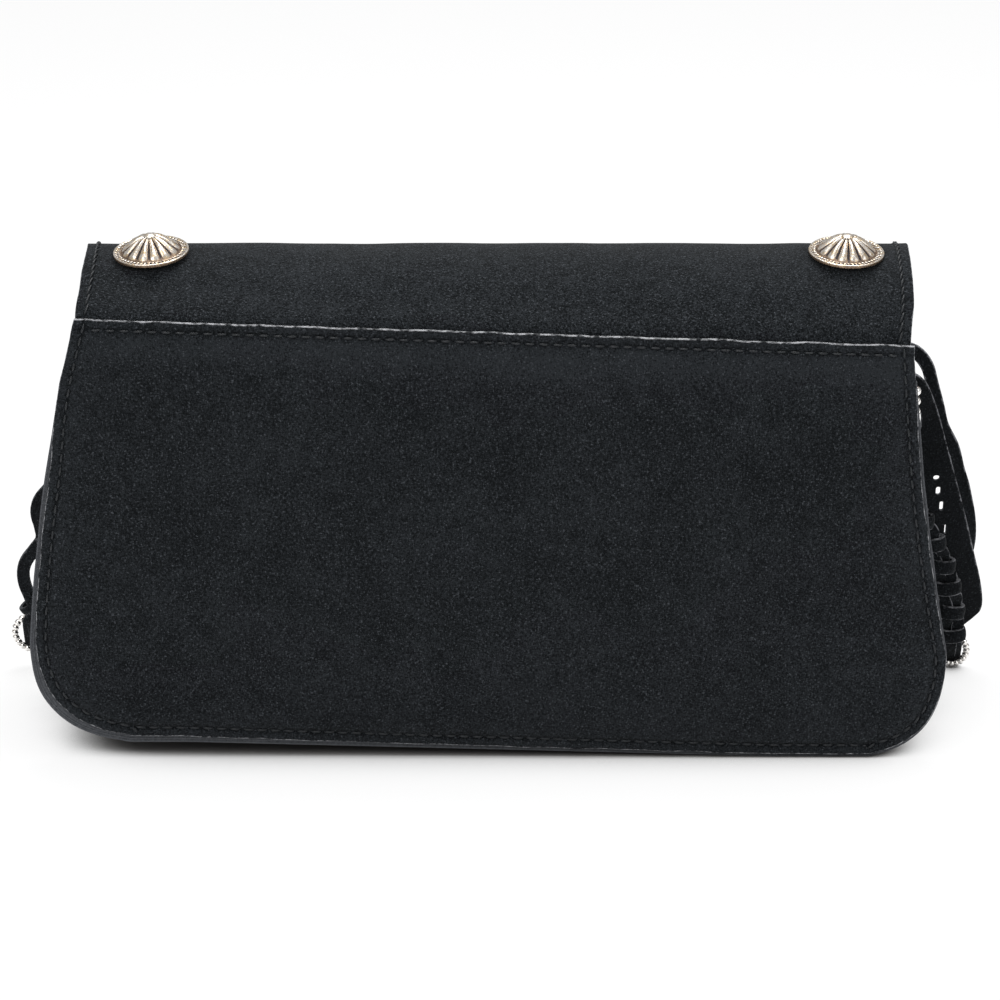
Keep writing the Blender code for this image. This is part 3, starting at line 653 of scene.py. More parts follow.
# The flap: one piece of suede from under the back panel's top edge, in a roll over the top, and down
# the front to a curved edge with a row of slits. A twisted double row of thread runs along both sides.
FLAP_MID_X = 2.3 * MM
FLAP_HALF = 134.9 * MM
TAB_LAP = 9.0 * MM
ROLL_Z = 140.6 * MM
ROLL_RISE = 27.2 * MM
ROLL_BACK_Y = SUEDE + GAP
ROLL_MID_Y = 36.0 * MM
ROLL_FRONT_Y = 56.3 * MM
ROLL_POWER = 2.0
EASE_BELOW_SEAM = 4.0 * MM
EASE_OVER = 12.0 * MM
FLAP_LEAN = 1.3 * MM
EDGE_SIDE_Z = 118 * MM
EDGE_MID_Z = 96 * MM
HANG_Y_OUT = 27.7 * MM
LACE_WIDTH = 4.5 * MM
LACE_THICK = 1.4 * MM
LACES = 16
SLIT_RISE = 8 * MM
SLIT_ROOM = 0.35 * MM
FLAP_ROW = 3.6 * MM
TWIST_PITCH = 3.1 * MM
CONCHO_X = {"left": -110.2 * MM, "right": 117.0 * MM}
CONCHO_TIP = {"left": -3.0, "right": 2.0}
CONCHO_NOD = math.radians(5)
CONCHO_Y = 27.6 * MM
CONCHO_R = 12.4 * MM


def hang_y(z):
    """The middle of a lace that lies on the flap's front, or hangs in line with it."""
    drop = max(ROLL_Z - z, 0.0) / ROLL_Z
    return ROLL_FRONT_Y + GAP + LACE_THICK / 2 + HANG_Y_OUT * drop ** 1.6


def section_line():
    """The flap's outer face as a line (y, z), from low at the back, over the roll, to the front."""
    points = [(ROLL_BACK_Y, ROLL_Z - step * MM) for step in range(14, 0, -1)]
    for degree in range(0, 181, 2):
        turn = math.radians(degree)
        across = math.copysign(abs(math.cos(turn)) ** (2 / ROLL_POWER), math.cos(turn))
        half = ROLL_MID_Y - ROLL_BACK_Y if across > 0 else ROLL_FRONT_Y - ROLL_MID_Y
        points.append((ROLL_MID_Y - half * across, ROLL_Z + ROLL_RISE * math.sin(turn) ** (2 / ROLL_POWER)))
    front_z = ROLL_Z - 1 * MM
    while front_z > EDGE_MID_Z - 3 * MM:
        points.append((hang_y(front_z) - LACE_THICK / 2 - GAP, front_z))
        front_z -= 1 * MM
    return np.array(points)


SECTION = section_line()
TANGENT = np.gradient(SECTION, axis=0)
TANGENT /= np.linalg.norm(TANGENT, axis=1)[:, None]
MIDLINE = SECTION + np.column_stack([TANGENT[:, 1], -TANGENT[:, 0]]) * SUEDE / 2
ALONG = np.concatenate([[0], np.cumsum(np.linalg.norm(np.diff(MIDLINE, axis=0), axis=1))])
CREST = int(np.argmax(MIDLINE[:, 1]))


def edge_z(x):
    """The flap's curved front edge, higher at the sides."""
    share = (x - FLAP_MID_X) / FLAP_HALF
    return EDGE_MID_Z + (EDGE_SIDE_Z - EDGE_MID_Z) * share * share


def flap_middle(x, along):
    """The flap's middle layer: flat behind the seam, easing into the roll, which leans to the right."""
    y, z = (float(np.interp(along, ALONG, MIDLINE[:, k])) for k in (0, 1))
    lean = smooth_step((z - seam_z(x)) / (14 * MM)) - 0.5
    front = smooth_step((y - ROLL_MID_Y) / (12 * MM))
    if y < ROLL_MID_Y:
        flat = ROLL_BACK_Y + SUEDE / 2
        y = flat + (y - flat) * smooth_step((z - seam_z(x) + EASE_BELOW_SEAM) / EASE_OVER)
    return x + FLAP_LEAN * lean * (1 - front), y, z


def flap_point(u, v):
    """u runs from left to right, and v from the edge under the back panel to the front edge."""
    x = FLAP_MID_X + FLAP_HALF * crowded(u, 0.6)
    tab = np.interp(seam_z(x) - TAB_LAP, MIDLINE[:CREST, 1], ALONG[:CREST])
    edge = np.interp(-edge_z(x), -MIDLINE[CREST:, 1], ALONG[CREST:])
    return placed(*flap_middle(x, tab + (edge - tab) * v))


def roll_seat(side):
    """The place on the flap's outer face under a concho's middle, its Z out of the suede."""
    back_roll = SECTION[14 : CREST + 1]
    z = float(np.interp(CONCHO_Y, back_roll[:, 0], back_roll[:, 1]))
    k = int(np.searchsorted(back_roll[:, 0], CONCHO_Y))
    slope = back_roll[k] - back_roll[k - 1]
    seat = Matrix.Translation(placed(CONCHO_X[side], CONCHO_Y, z))
    seat @= Matrix.Rotation(math.radians(CONCHO_TIP[side]), 4, "Y")
    return seat @ Matrix.Rotation(math.atan2(slope[1], slope[0]) - CONCHO_NOD, 4, "X")


flap_bm = grid_sheet(190, 120, flap_point, (0, 0, 1))
flap_rim = [edge for edge in flap_bm.edges if edge.is_boundary]
sides = [
    edge for edge in flap_rim
    if all(abs(abs(vert.co.x - MIDDLE_X - FLAP_MID_X) - FLAP_HALF) < 0.01 * MM for vert in edge.verts)
]
flap_edge = flap_bm.verts.layers.float.new("edge")
flap_lift_and_shade = flap_bm.verts.layers.float.new("lift_and_painted_groove_shade")
from_rim, from_sides = distances(flap_bm, flap_rim), distances(flap_bm, sides)
seats = [roll_seat(side) for side in CONCHO_X]
for vert, rim, side in zip(flap_bm.verts, from_rim, from_sides):
    vert[flap_edge] = rim
    # The flap's nap is lifted a little all over as painted light, for the roll that catches the light from
    # above, and darkened along the side stitch rows as painted shade in their grooves.
    vert[flap_lift_and_shade] = 0.08 - 0.40 * math.exp(-(((side - FLAP_ROW) / MM) ** 2))
    groove = seam_relief(side, FLAP_ROW, depth=0.3 * MM, puff=0.35 * MM, reach=3 * MM)
    above = smooth_step((vert.co.z - SEAM_LEFT_Z) / (8 * MM))
    front = smooth_step((vert.co.y - BACK_Y - 30 * MM) / (20 * MM))
    dents = noise.noise(vert.co * 30) * 0.55 * MM + noise.noise(vert.co * 85) * 0.2 * MM
    wave = noise.noise(vert.co * 110) * 0.3 * MM * max(1 - rim / (4 * MM), 0.0)
    vert.co += vert.normal * (groove * above + dents * above * (1 - 0.7 * front))
    vert.co.x += wave
    vert.co.z += wave * front
    vert.co.z -= max(1 - side / (12 * MM), 0.0) ** 2 * above * 0.7 * MM
    for seat in seats:
        local = seat.inverted() @ vert.co
        beyond = math.hypot(local.x, local.y) - CONCHO_R * 0.70
        pressed = 1 - smooth_step(beyond / (CONCHO_R * 0.45))
        local.z += (-SUEDE / 2 - local.z) * pressed * 0.85 if local.z > -8 * MM else 0
        vert.co = seat @ local
flap_tree = BVHTree.FromBMesh(flap_bm)
FLAP_SUEDE = suede("flap_suede", 0.88, coarse=1.6)
flap = finish_sheet("flap_suede_piece", flap_bm, FLAP_SUEDE, None)


def slit_x(number):
    share = (number - 1) / (LACES - 1)
    return FLAP_MID_X + (FLAP_HALF - 6 * MM) * (2 * share - 1)


def cut_boxes(obj, boxes, corner=0.0):
    """Cuts a hole with rounded corners for each (centre, size), and makes the shape final."""
    cutters = bmesh.new()
    for centre, size in boxes:
        made = bmesh.ops.create_cube(cutters, size=1, matrix=Matrix.Diagonal((*size, 1)))["verts"]
        if corner:
            edges = {edge for vert in made for edge in vert.link_edges}
            deep = [edge for edge in edges if abs(edge.verts[0].co.y - edge.verts[1].co.y) > 1e-6]
            rounds = bmesh.ops.bevel(
                cutters, geom=deep, affect="EDGES", offset=corner * min(size[0], size[2]),
                segments=3, profile=0.5, material=-1,
            )["verts"]
            made = list({v for v in made if v.is_valid} | set(rounds))
        bmesh.ops.translate(cutters, vec=centre, verts=made)
    tool = in_scene("cutters", cutters)
    cut = obj.modifiers.new("holes", "BOOLEAN")
    cut.operation = "DIFFERENCE"
    cut.object = tool
    set_shape(obj)
    bpy.data.objects.remove(tool)


slits = []
for number in range(1, LACES + 1):
    slit_z = edge_z(slit_x(number)) + SLIT_RISE
    centre = placed(slit_x(number), hang_y(slit_z) - LACE_THICK / 2 - GAP - SUEDE / 2, slit_z)
    slits.append((centre, (LACE_WIDTH + 2 * SLIT_ROOM, 8 * MM, LACE_THICK + 2 * SLIT_ROOM)))
cut_boxes(flap, slits)
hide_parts("flap")
HINGE_Z = frame["joints"][0]["pos_m"][2]
placed(0, 0, HINGE_Z - 10 * MM)
placed(0, 10.3 * MM, HINGE_Z - 6.2 * MM)
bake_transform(flap)

flap_thread_bm = bmesh.new()
for side in (-1, 1):
    x = FLAP_MID_X + side * (FLAP_HALF - FLAP_ROW)
    tab = np.interp(seam_z(x) + 1 * MM, MIDLINE[:CREST, 1], ALONG[:CREST])
    edge = np.interp(-edge_z(x) - 3 * MM, -MIDLINE[CREST:, 1], ALONG[CREST:])
    count = round((edge - tab) / TWIST_PITCH)
    line = []
    for k in range(count + 1):
        found = flap_tree.find_nearest(placed(*flap_middle(x, tab + (edge - tab) * k / count)))
        line.append((found[0] + found[1] * SUEDE / 2, found[1]))
    for k, ((start, out), (end, _)) in enumerate(zip(line, line[1:])):
        across = (end - start).cross(out).normalized() * 0.55 * MM
        step = (end - start) * 0.30
        add_stitch(flap_thread_bm, start - across - step, end + across, out, arch=0.5 * MM)
flap_thread = smooth_piece("flap_stitches", flap_thread_bm, "flap", THREAD)


# The fringe: flat black suede laces. Each is doubled through a slit in the flap, and its two halves
# are tied to each other again and again, so that they hang as chains of eyes down to the table. The
# last but one is drawn up into a flat plait.
CROSSING_PITCH = 20 * MM
FIRST_CROSSING = 9 * MM
EYE_HALF = 4.0 * MM
CROSSING_HALF = 1.0 * MM
SHORT_EYE = 13 * MM
FAN_LEFT_X = -155 * MM
FAN_RIGHT_X = 146 * MM
LAST_CROSSING_Z = 14 * MM
TAIL_Z = 1.6 * MM
LEGS_DEEP = 2 * GAP + SUEDE + LACE_THICK
OVER = 0.85 * MM
KNOT = (2.9 * MM, 2.05 * MM, 3.6 * MM)
KNOT_LEAN = 24
PLAIT_KNOT = (3.7 * MM, 1.5 * MM, 4.8 * MM)
PLAIT_KNOT_LEAN = 5
PLAIT_KNOT_BACK = 0.7 * MM
STUB = (3.4 * MM, 1.8 * MM, 2.6 * MM)
STUB_ASIDE = 3.2 * MM
STUBS = [(28.5, 62), (25.5, -38)]
RING_TAIL_HALF = 0.9 * MM
RING_OUTSIDE = {"left": 8.7 * MM, "right": 11.3 * MM}
RING_Z = {"left": 13.6 * MM, "right": 6.6 * MM}
RING_R = {"left": 6.2 * MM, "right": 5.0 * MM}
RING_BEAD_R = 1.3 * MM
PLAIT_BACK = 1.6 * MM
LEFT_CENTRE = [(-18.2, 112), (-8.2, 94), (-3.9, 76), (1.2, 52.7), (5.8, 23), (8.3, 1)]
LEFT_CROSSINGS = [109, 94, 76, 52.7, 23]
LEFT_EYES = [3.0, 2.6, 5.0, 6.6]
PLAIT_CENTRE = [(-34.2, 112), (-24.2, 100), (-13.2, 82), (-3.2, 61), (1.4, 52), (5.3, 43), (8.8, 31),
                (10.3, 21), (11.3, 9), (11.3, 1)]
PLAIT_CROSSINGS = [109, 96, 82, 70, 61, 52, 43, 34, 24, 14]


def from_side(side, outside):
    """The x of a point that lies so many millimetres outside the body's widest line."""
    return side * (WIDE_HALF + outside * MM)


def along_route(side, route):
    zs = [z * MM for _, z in reversed(route)]
    xs = [from_side(side, outside) for outside, _ in reversed(route)]
    return lambda z: float(np.interp(z, zs, xs))


def ring_at(name):
    side = -1 if name == "left" else 1
    return from_side(side, RING_OUTSIDE[name] / MM), RING_Z[name], RING_R[name]


def ring_y(z, back):
    return hang_y(z) - LEGS_DEEP / 2 - back


def rounded(points, rounds=3):
    """The line with its corners cut off again and again, which ends as a smooth curve."""
    line = [np.array(point) for point in points]
    for _ in range(rounds):
        cut = [line[0]]
        for a, b in zip(line, line[1:]):
            cut += [a * 0.75 + b * 0.25, a * 0.25 + b * 0.75]
        line = cut + [line[-1]]
    return line


def add_ribbon(bm, path, width, edge_layer, waists=(), seed=0, cup=0.12 * MM, columns=4):
    """A flat lace along the path, face-on to the front, narrower where it is tied."""
    path = [Vector(point) for point in evenly([tuple(point) for point in path], 1.7 * MM)]
    wide = Vector((-1, 0, 0))
    frames = []
    for k, point in enumerate(path):
        along = (path[min(k + 1, len(path) - 1)] - path[max(k - 1, 0)]).normalized()
        square = along.cross(Vector((0, 1, 0)))
        if square.length > 0.35:
            wide = square if square.dot(wide) > 0 else -square
        wide = (wide - along * wide.dot(along)).normalized()
        twist = Matrix.Rotation(0.30 * noise.noise(Vector((k * 0.13, seed, 0.5))), 3, along)
        waist = sum(math.exp(-(((point.z - z) / (2.2 * MM)) ** 2)) for z in waists)
        grow = 1 + 0.06 * noise.noise(Vector((k * 0.21, seed, 7.5)))
        frames.append((point, twist @ wide, along, width / 2 * grow * (1 - 0.30 * min(waist, 1))))
    made = bmesh.ops.create_grid(bm, x_segments=columns, y_segments=len(path) - 1, size=0.5)["verts"]
    for vert in made:
        across = vert.co.x * 2
        point, side, along, half = frames[round((vert.co.y + 0.5) * (len(path) - 1))]
        out = side.cross(along)
        vert[edge_layer] = (1 - abs(across)) * half
        vert.co = point + side * across * half + out * cup * across * across


def add_knot(bm, centre, size, lean, edge_layer):
    """The turn of lace that closes a half knot round both halves, leaning by so many degrees."""
    half_x, half_y, height = size
    made = bmesh.ops.create_grid(bm, x_segments=20, y_segments=3, size=0.5)["verts"]
    turn = Matrix.Rotation(math.radians(lean), 3, "Y")
    for vert in made:
        angle, t = 2 * math.pi * vert.co.x, 2 * vert.co.y
        bulge = 1 + 0.10 * (1 - t * t)
        vert[edge_layer] = (1 - abs(t)) * height / 2
        rise = t * height / 2 + 0.5 * MM * math.sin(angle)
        vert.co = centre + turn @ Vector(
            (half_x * math.cos(angle) * bulge, half_y * math.sin(angle) * bulge, rise)
        )
    bmesh.ops.remove_doubles(bm, verts=made, dist=0.01 * MM)


def half_points(sign, x_slit, slit_z, crossings, eyes, centre_x, tail_x, ring, back):
    """One half of a lace from its slit down, as (x, y, z)."""
    leg = 0.0 if sign > 0 else -LEGS_DEEP
    points = [(x_slit, hang_y(slit_z) + leg, slit_z - 1 * MM)]
    points.append((x_slit, hang_y(slit_z - SLIT_RISE) + leg, slit_z - SLIT_RISE - 1 * MM))
    for k, z in enumerate(crossings):
        over = OVER * sign * (1 if k % 2 == 0 else -1)
        lie = hang_y(z) - LEGS_DEEP / 2 - back
        points.append((centre_x(z) + sign * CROSSING_HALF * 0.6, lie + over, z))
        if k + 1 < len(crossings):
            sharp = ring and not back
            short = z - crossings[k + 1] < SHORT_EYE
            full = ((0.28, 0.95), (0.5, 1.10), (0.72, 0.95))
            for share, swell in ((0.42, 1.42),) if sharp else ((0.5, 1.12),) if short else full:
                zs = z + (crossings[k + 1] - z) * share
                off = CROSSING_HALF + (eyes[k] - CROSSING_HALF) * swell
                flip = 1 - 2 * share
                lie = hang_y(zs) - LEGS_DEEP / 2 - back
                points.append((centre_x(zs) + sign * off, lie + over * flip, zs))
    if ring:
        x, z, radius = ring
        clear = RING_BEAD_R + GAP + LACE_THICK * 0.8
        for share, side in ((0.95, -1), (0.4, -0.55), (-0.4, 0.55), (-0.95, 1)):
            points.append((x + sign * RING_TAIL_HALF, ring_y(z, back) + clear * side, z + radius * share))
    else:
        low = TAIL_Z + 0.8 * MM * (1 + sign * 0.6)
        points.append((tail_x + sign * 2.0 * MM, hang_y(low) - LEGS_DEEP / 2 + OVER * sign, low))
    return points


def lace_path(front, back, x_slit, slit_z):
    """The whole lace: up the front half, through the slit over a small roll, and down the back half."""
    bow = []
    for degree in range(0, 181, 30):
        turn = math.radians(degree)
        y = hang_y(slit_z) - LEGS_DEEP / 2 * (1 - math.cos(turn))
        bow.append((x_slit, y, slit_z + 0.2 * MM + 0.9 * MM * math.sin(turn)))
    up = rounded(list(reversed(front)))
    down = rounded(back)
    return [placed(*point) for point in up] + [placed(*point) for point in bow] + [
        placed(*point) for point in down
    ]


LACE_SUEDE = suede("lace_suede", 0.75, edge_width=0.22, cut=(0.07, 0.073, 0.08, 1))
PLAIT_SUEDE = suede("plait_suede", 0.55, edge_width=0.30, cut=(0.20, 0.205, 0.22, 1))


def even_crossings(first):
    spaces = round((first - LAST_CROSSING_Z) / CROSSING_PITCH)
    return [first + (LAST_CROSSING_Z - first) * k / spaces for k in range(spaces + 1)]


def fan_x(number):
    return FAN_LEFT_X + (FAN_RIGHT_X - FAN_LEFT_X) * (number - 1) / (LACES - 1)


for number in range(1, LACES):
    x_slit = slit_x(number)
    slit_z = edge_z(x_slit) + SLIT_RISE
    crossings = even_crossings(edge_z(x_slit) - FIRST_CROSSING)
    eyes = [EYE_HALF + 0.5 * MM * math.sin(2.4 * number + 1.7 * k) for k in range(len(crossings))]
    foot_x = fan_x(number)

    def centre_x(z, x_slit=x_slit, foot_x=foot_x, number=number):
        share = (edge_z(x_slit) - z) / edge_z(x_slit)
        sway = 1.3 * MM * math.sin(0.075 * z / MM + 1.9 * number) * min(max(share * 4, 0.0), 1.0)
        return x_slit + (foot_x - x_slit) * max(share, 0.0) ** 1.1 + sway

    ring, behind = None, 0.0
    if number == 1:
        ring = ring_at("left")
        centre_x = along_route(-1, LEFT_CENTRE)
        crossings = [z * MM for z in LEFT_CROSSINGS]
        eyes = [half * MM for half in LEFT_EYES]
    if number == LACES - 1:
        centre_x = along_route(1, PLAIT_CENTRE)
        crossings = [z * MM for z in PLAIT_CROSSINGS]
        eyes = [2.3 * MM] * len(crossings)
        ring, behind = ring_at("right"), PLAIT_BACK
    front, back = (
        half_points(sign, x_slit, slit_z, crossings, eyes, centre_x, foot_x, ring, behind)
        for sign in (1, -1)
    )
    lace_bm = bmesh.new()
    lace_edge = lace_bm.verts.layers.float.new("edge")
    add_ribbon(lace_bm, lace_path(front, back, x_slit, slit_z), LACE_WIDTH, lace_edge, crossings, number)
    of_suede, knot, lean, knot_back = LACE_SUEDE, KNOT, KNOT_LEAN, 0.0
    if number == LACES - 1:
        of_suede, knot, lean, knot_back = PLAIT_SUEDE, PLAIT_KNOT, PLAIT_KNOT_LEAN, PLAIT_KNOT_BACK
    for k, z in enumerate(crossings):
        centre = placed(centre_x(z), hang_y(z) - LEGS_DEEP / 2 - behind - knot_back, z)
        add_knot(lace_bm, centre, knot, lean if (k + number) % 2 else -lean, lace_edge)
    for z, stub_lean in STUBS if number == 1 else []:
        stub = placed(centre_x(z * MM) - STUB_ASIDE, hang_y(z * MM) - LEGS_DEEP / 2, z * MM)
        add_knot(lace_bm, stub, STUB, stub_lean, lace_edge)
    lace = finish_sheet(f"lace_{number:02d}", lace_bm, of_suede, "flap", LACE_THICK * 0.92, 0.22 * MM)
    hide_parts(f"fringe_{number:02d}")


# The last lace, at the right side: its front half is a narrow lace that bows out past the flap, and
# its back half is a wide band with a row of small rounded holes, whose outer cut edge shows pale.
RIGHT_OUTER = [
    (-18.2, 122.5), (-10.2, 126.5), (-3.7, 120), (-1.7, 112), (0.6, 104), (2.4, 96),
    (6.8, 88.5), (8.8, 80), (11.4, 72), (14.2, 60), (14.7, 49), (11.8, 39), (7.8, 30), (4.8, 22),
]
RIGHT_BAND = [
    (-23.4, 118, -18.8, 118), (-20.7, 111.5, -14.7, 117.2), (-13.7, 112.0, -8.7, 118.2),
    (-9.6, 110.5, -3.8, 114.2), (-6.6, 105, -0.4, 105.6), (-4.8, 100.5, 1.8, 98.8),
    (-5.7, 94, 4.5, 89.1), (-7.7, 77, 8.3, 76.3), (-7.7, 61, 12.7, 61.1),
    (-6.7, 47, 16.3, 47.1), (-4.2, 33, 19.9, 33.9), (-1.2, 19, 21.1, 23.8),
    (2.8, 17.2, 18.2, 20.2), (7.8, 15.0, 15, 17.0),
]
BAND_HOLES = [(1.4, 77.0, 2.1, 1.9), (2.3, 71.9, 1.6, 3.1), (3.75, 65.9, 1.3, 3.5), (5.6, 56.6, 0.5, 3.6)]
HOLE_CORNER = 0.42
BAND_FORWARD = 2.4 * MM
BAND_FORWARD_Z = 114 * MM
BAND_FORWARD_OVER = 16 * MM
BULGE = (2.9 * MM, 1.7 * MM, 6.5 * MM)
BULGE_OUTSIDE = 5.6
BULGE_Z = 89 * MM
BULGE_LEAN = -22


def band_point(x, z):
    forward = BAND_FORWARD * smooth_step((BAND_FORWARD_Z - z) / BAND_FORWARD_OVER)
    return placed(x, hang_y(z) - LEGS_DEEP + forward, z)


last_x = slit_x(LACES)
last_slit_z = edge_z(last_x) + SLIT_RISE
outer = [(last_x, hang_y(last_slit_z), last_slit_z - 1 * MM)]
outer += [
    (from_side(1, outside), hang_y(z * MM) + (0.3 * MM if k > 1 else 0.0), z * MM)
    for k, (outside, z) in enumerate(RIGHT_OUTER)
]
last_bm = bmesh.new()
last_edge = last_bm.verts.layers.float.new("edge")
add_ribbon(last_bm, [placed(*point) for point in rounded(outer)], LACE_WIDTH, last_edge, (), 31)
bulge = placed(from_side(1, BULGE_OUTSIDE), hang_y(BULGE_Z), BULGE_Z)
add_knot(last_bm, bulge, BULGE, BULGE_LEAN, last_edge)

rail = [(last_x - LACE_WIDTH / 2, last_slit_z, last_x + LACE_WIDTH / 2, last_slit_z)]
rail += [
    (from_side(1, x1), z1 * MM, from_side(1, x2), z2 * MM) for x1, z1, x2, z2 in RIGHT_BAND
]
rail = evenly([tuple(point) for point in rounded(rail, 2)], 1.6 * MM)
band_verts = bmesh.ops.create_grid(last_bm, x_segments=10, y_segments=len(rail) - 1, size=0.5)["verts"]
for vert in band_verts:
    across = vert.co.x + 0.5
    x1, z1, x2, z2 = rail[round((vert.co.y + 0.5) * (len(rail) - 1))]
    vert[last_edge] = min(across, 1 - across) * math.hypot(x2 - x1, z2 - z1)
    vert.co = band_point(x1 + (x2 - x1) * across, z1 + (z2 - z1) * across)
# The band's nap is kept dark (0.40): partly the lace's smoother back face, partly painted shade, as the
# band hangs in shadow at the bag's right side.
BAND_SUEDE_WITH_PAINTED_SHADE = suede("band_suede_with_painted_shade", 0.40, edge_width=0.40, cut=(0.19, 0.195, 0.21, 1))
last_lace = finish_sheet(f"lace_{LACES:02d}", last_bm, BAND_SUEDE_WITH_PAINTED_SHADE, None, LACE_THICK * 0.92, 0.22 * MM)
holes = [
    (band_point(from_side(1, outside), z * MM), (wide * MM, 4 * MM, tall * MM))
    for outside, z, wide, tall in BAND_HOLES
]
cut_boxes(last_lace, holes, corner=HOLE_CORNER)
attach(last_lace, "flap")
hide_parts(f"fringe_{LACES:02d}")


# The conchos: domed discs of cast metal the colour of old silver, one near each end of the roll. A
# round boss, 14 fluted rays with dark grooves, and a flat band of small oval dots inside the rim.
RAYS = 14
DOTS = 52
SCREW_HOLE_R = 1.8 * MM
SCREW_HOLE_DEPTH = 3.5 * MM
DISC_STEPS = DOTS * 8


def concho_profile():
    """Half the section, from the boss over the dome and the band to the rim, and back underneath."""
    boss = [(2.1 * math.sin(a), 5.95 + 1.05 * math.cos(a)) for a in (math.pi / 2 * k / 6 for k in range(7))]
    dome = []
    for k in range(1, 22):
        share = k / 21
        radius = 2.1 + (9.9 - 2.1) * share
        dome.append((radius, 1.0 + 4.95 * (1 - share ** 1.3)))
    band = [(9.9 + 0.18 * k, 1.0) for k in range(1, 11)]
    rim = [(11.82, 1.14), (12.06, 1.2), (12.3, 1.12), (12.4, 0.9), (12.4, 0.5), (12.3, 0.1), (12.0, 0.0)]
    hole_r, hole_end = SCREW_HOLE_R / MM, SCREW_HOLE_DEPTH / MM
    hole = [(hole_r, 0.0), (hole_r, hole_end), (0.0, hole_end)]
    return [(radius * MM, height * MM) for radius, height in boss + dome + band + rim + hole]


def concho_bmesh():
    bm = bmesh.new()
    verts = [bm.verts.new((radius, 0, height)) for radius, height in concho_profile()]
    edges = [bm.edges.new(pair) for pair in zip(verts, verts[1:])]
    bmesh.ops.spin(
        bm, geom=verts + edges, cent=(0, 0, 0), axis=(0, 0, 1), angle=2 * math.pi,
        steps=DISC_STEPS, use_merge=True,
    )
    bmesh.ops.remove_doubles(bm, verts=bm.verts, dist=0.002 * MM)
    bmesh.ops.recalc_face_normals(bm, faces=bm.faces)
    bright = bm.verts.layers.float.new("bright")
    for vert in bm.verts:
        radius = math.hypot(vert.co.x, vert.co.y) / MM
        angle = math.atan2(vert.co.y, vert.co.x)
        height = vert.co.z / MM
        vert[bright] = 1.0
        if height < 0.9:
            vert[bright] = 0.5
        elif 2.0 < radius < 10.1:
            ray = abs(math.cos(angle * RAYS / 2)) ** 1.25
            span = min(max((radius - 2.0) / 8.2, 0.0), 1.0)
            rounded_end = smooth_step((9.2 + 0.6 * ray - radius) / 0.9)
            tall = math.sin(math.pi * min(span * 0.93 + 0.04, 1.0)) ** 0.55
            vert.co.z += (ray * 1.05 - 0.45) * tall * rounded_end * MM
            vert.co.z -= 0.25 * (1 - rounded_end) * smooth_step((10.1 - radius) / 0.4) * MM
            vert[bright] = 0.42 + 0.58 * smooth_step((ray - 0.22) / 0.5) * rounded_end
            vert[bright] -= 0.42 * math.exp(-((ray / 0.16) ** 2)) * rounded_end
        elif 10.1 <= radius <= 11.8:
            dot = (angle * DOTS / (2 * math.pi)) % 1.0 - 0.5
            near = (dot / 0.36) ** 2 + ((radius - 10.95) / 0.72) ** 2
            if near < 1:
                vert.co.z -= 0.55 * math.sqrt(1 - near) * MM
            vert[bright] = smooth_step((near - 0.8) / 0.4)
    return bm


def old_silver(name):
    """Cast metal the colour of old silver: bright where it is rubbed, dark grey in the grooves."""
    made = Finish(name, metallic=1.0, roughness=0.3)
    bright = made.attribute("bright")
    cloud = made.noise(900, 3.0, 0.65)
    scratch = made.noise(1500, 2.0, 0.6, (1, 1, 0.3), (0.4, 0.2, 0.9))
    lightened = (bright + (cloud - 0.5) * 0.5).between(0.22, 0.80)
    warm = made.mix(cloud.between(0.42, 0.66), (0.72, 0.68, 0.63, 1), (0.60, 0.46, 0.29, 1))
    brown = made.mix(lightened.between(0.0, 0.5), (0.045, 0.042, 0.045, 1), (0.27, 0.19, 0.13, 1))
    made.feed("Base Color", made.mix(lightened.between(0.45, 0.95), brown, warm))
    made.feed("Roughness", 0.60 - lightened * 0.34 + scratch * 0.12)
    made.bump(cloud * 0.6 + scratch * 0.5, 0.10 * MM, 0.6)
    return made


OLD_SILVER = old_silver("old_silver")
for side in ("left", "right"):
    lift = GAP + CONCHO_R * math.sin(math.radians(abs(CONCHO_TIP[side])))
    disc = concho_bmesh()
    bmesh.ops.transform(
        disc, matrix=roll_seat(side) @ Matrix.Translation((0, 0, lift)), verts=disc.verts
    )
    concho = smooth_piece(f"concho_disc_{side}", disc, "flap", OLD_SILVER)
    concho.data.set_sharp_from_angle(angle=math.radians(55))
    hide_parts(f"concho_{side}")


# The screws that hold the conchos from inside the flap: plain flat-headed steel, kept as the solids
# are, with a dull turned finish.
screw_steel = Finish("screw_steel", metallic=1.0, base_color=(0.52, 0.50, 0.47, 1))
turned = screw_steel.noise(900, 2.0, 0.5, (1, 1, 6))
screw_steel.feed("Roughness", 0.34 + turned * 0.22)
screw_steel.bump(turned, 0.05 * MM, 0.5)
for side in ("left", "right"):
    screw = frame["nodes"][f"concho_screw_{side}"]
    screw.data.materials.clear()
    screw.data.materials.append(screw_steel.material)


# The metal on the laces: a ring of small beads at each side's foot, tied in with the tails, and a
# short upright bar of beads sewn behind the band. All are bright silver with darker joints.
BAR_OUTSIDE = 2.9 * MM
BAR_LOW_Z = 99.0 * MM
BAR_BEADS = 4
BAR_BEAD_R = 1.7 * MM
BAR_BEAD_PITCH = 3.6 * MM
BAR_SQUASH = BAR_BEAD_PITCH / 2 / BAR_BEAD_R * 1.04
BAR_CLEAR = 1.35 * MM
RING_BEADS = 20


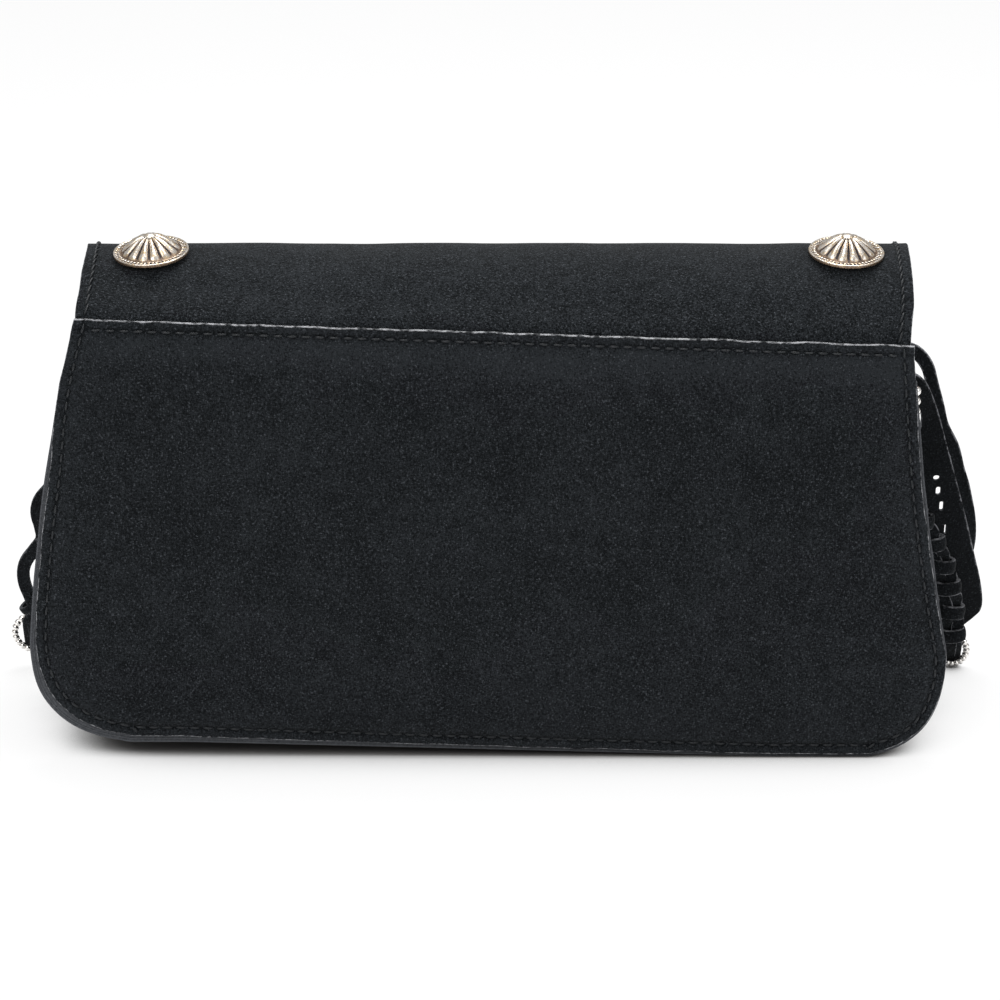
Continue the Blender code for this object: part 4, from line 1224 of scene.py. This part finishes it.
def add_bead(bm, centre, radius, squash, axis, bright_layer):
    """A round bead, flattened along the wire that it is cast with."""
    made = bmesh.ops.create_uvsphere(bm, u_segments=16, v_segments=10, radius=radius)["verts"]
    turn = Vector((0, 0, 1)).rotation_difference(axis).to_matrix()
    for vert in made:
        vert[bright_layer] = 1 - smooth_step((abs(vert.co.z) / radius - 0.55) / 0.4) * 0.8
        vert.co = centre + turn @ Vector((vert.co.x, vert.co.y, vert.co.z * squash))


def beaded_ring(centre, radius, beads):
    bm = bmesh.new()
    bright = bm.verts.layers.float.new("bright")
    for k in range(beads):
        turn = 2 * math.pi * k / beads
        out = Vector((math.cos(turn), 0, math.sin(turn)))
        along = Vector((-math.sin(turn), 0, math.cos(turn)))
        squash = math.pi * radius / beads / RING_BEAD_R * 1.30
        add_bead(bm, centre + out * radius, RING_BEAD_R, squash, along, bright)
    return bm


bright_silver = Finish("bright_silver", metallic=1.0)
polish = bright_silver.attribute("bright")
bright_silver.feed("Base Color", bright_silver.mix(polish, (0.20, 0.13, 0.10, 1), (0.86, 0.84, 0.81, 1)))
bright_silver.feed("Roughness", 0.45 - polish * 0.27)
bright_silver.bump(bright_silver.noise(900, 2.0, 0.5), 0.06 * MM, 0.4)
for side in ("left", "right"):
    x, z, radius = ring_at(side)
    middle = placed(x, ring_y(z, PLAIT_BACK if side == "right" else 0.0), z)
    beads = beaded_ring(middle, radius, RING_BEADS)
    ring = smooth_piece(f"beaded_ring_{side}", beads, "flap", bright_silver)
    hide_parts(f"ring_{side}")

bar_middle_z = BAR_LOW_Z + BAR_BEADS * BAR_BEAD_PITCH / 2
bar_foot = band_point(half_width(bar_middle_z, 1) + BAR_OUTSIDE, bar_middle_z)
bar_foot.y -= LACE_THICK / 2 + GAP + BAR_BEAD_R + BAR_CLEAR
bar_foot.z = BAR_LOW_Z
bar_bm = bmesh.new()
bar_bright = bar_bm.verts.layers.float.new("bright")
for k in range(BAR_BEADS):
    centre = bar_foot + Vector((0, 0, BAR_BEAD_PITCH * (k + 0.5)))
    add_bead(bar_bm, centre, BAR_BEAD_R, BAR_SQUASH, Vector((0, 0, 1)), bar_bright)
bar = smooth_piece("bead_bar", bar_bm, "flap", bright_silver)
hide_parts("bead_bar_right")
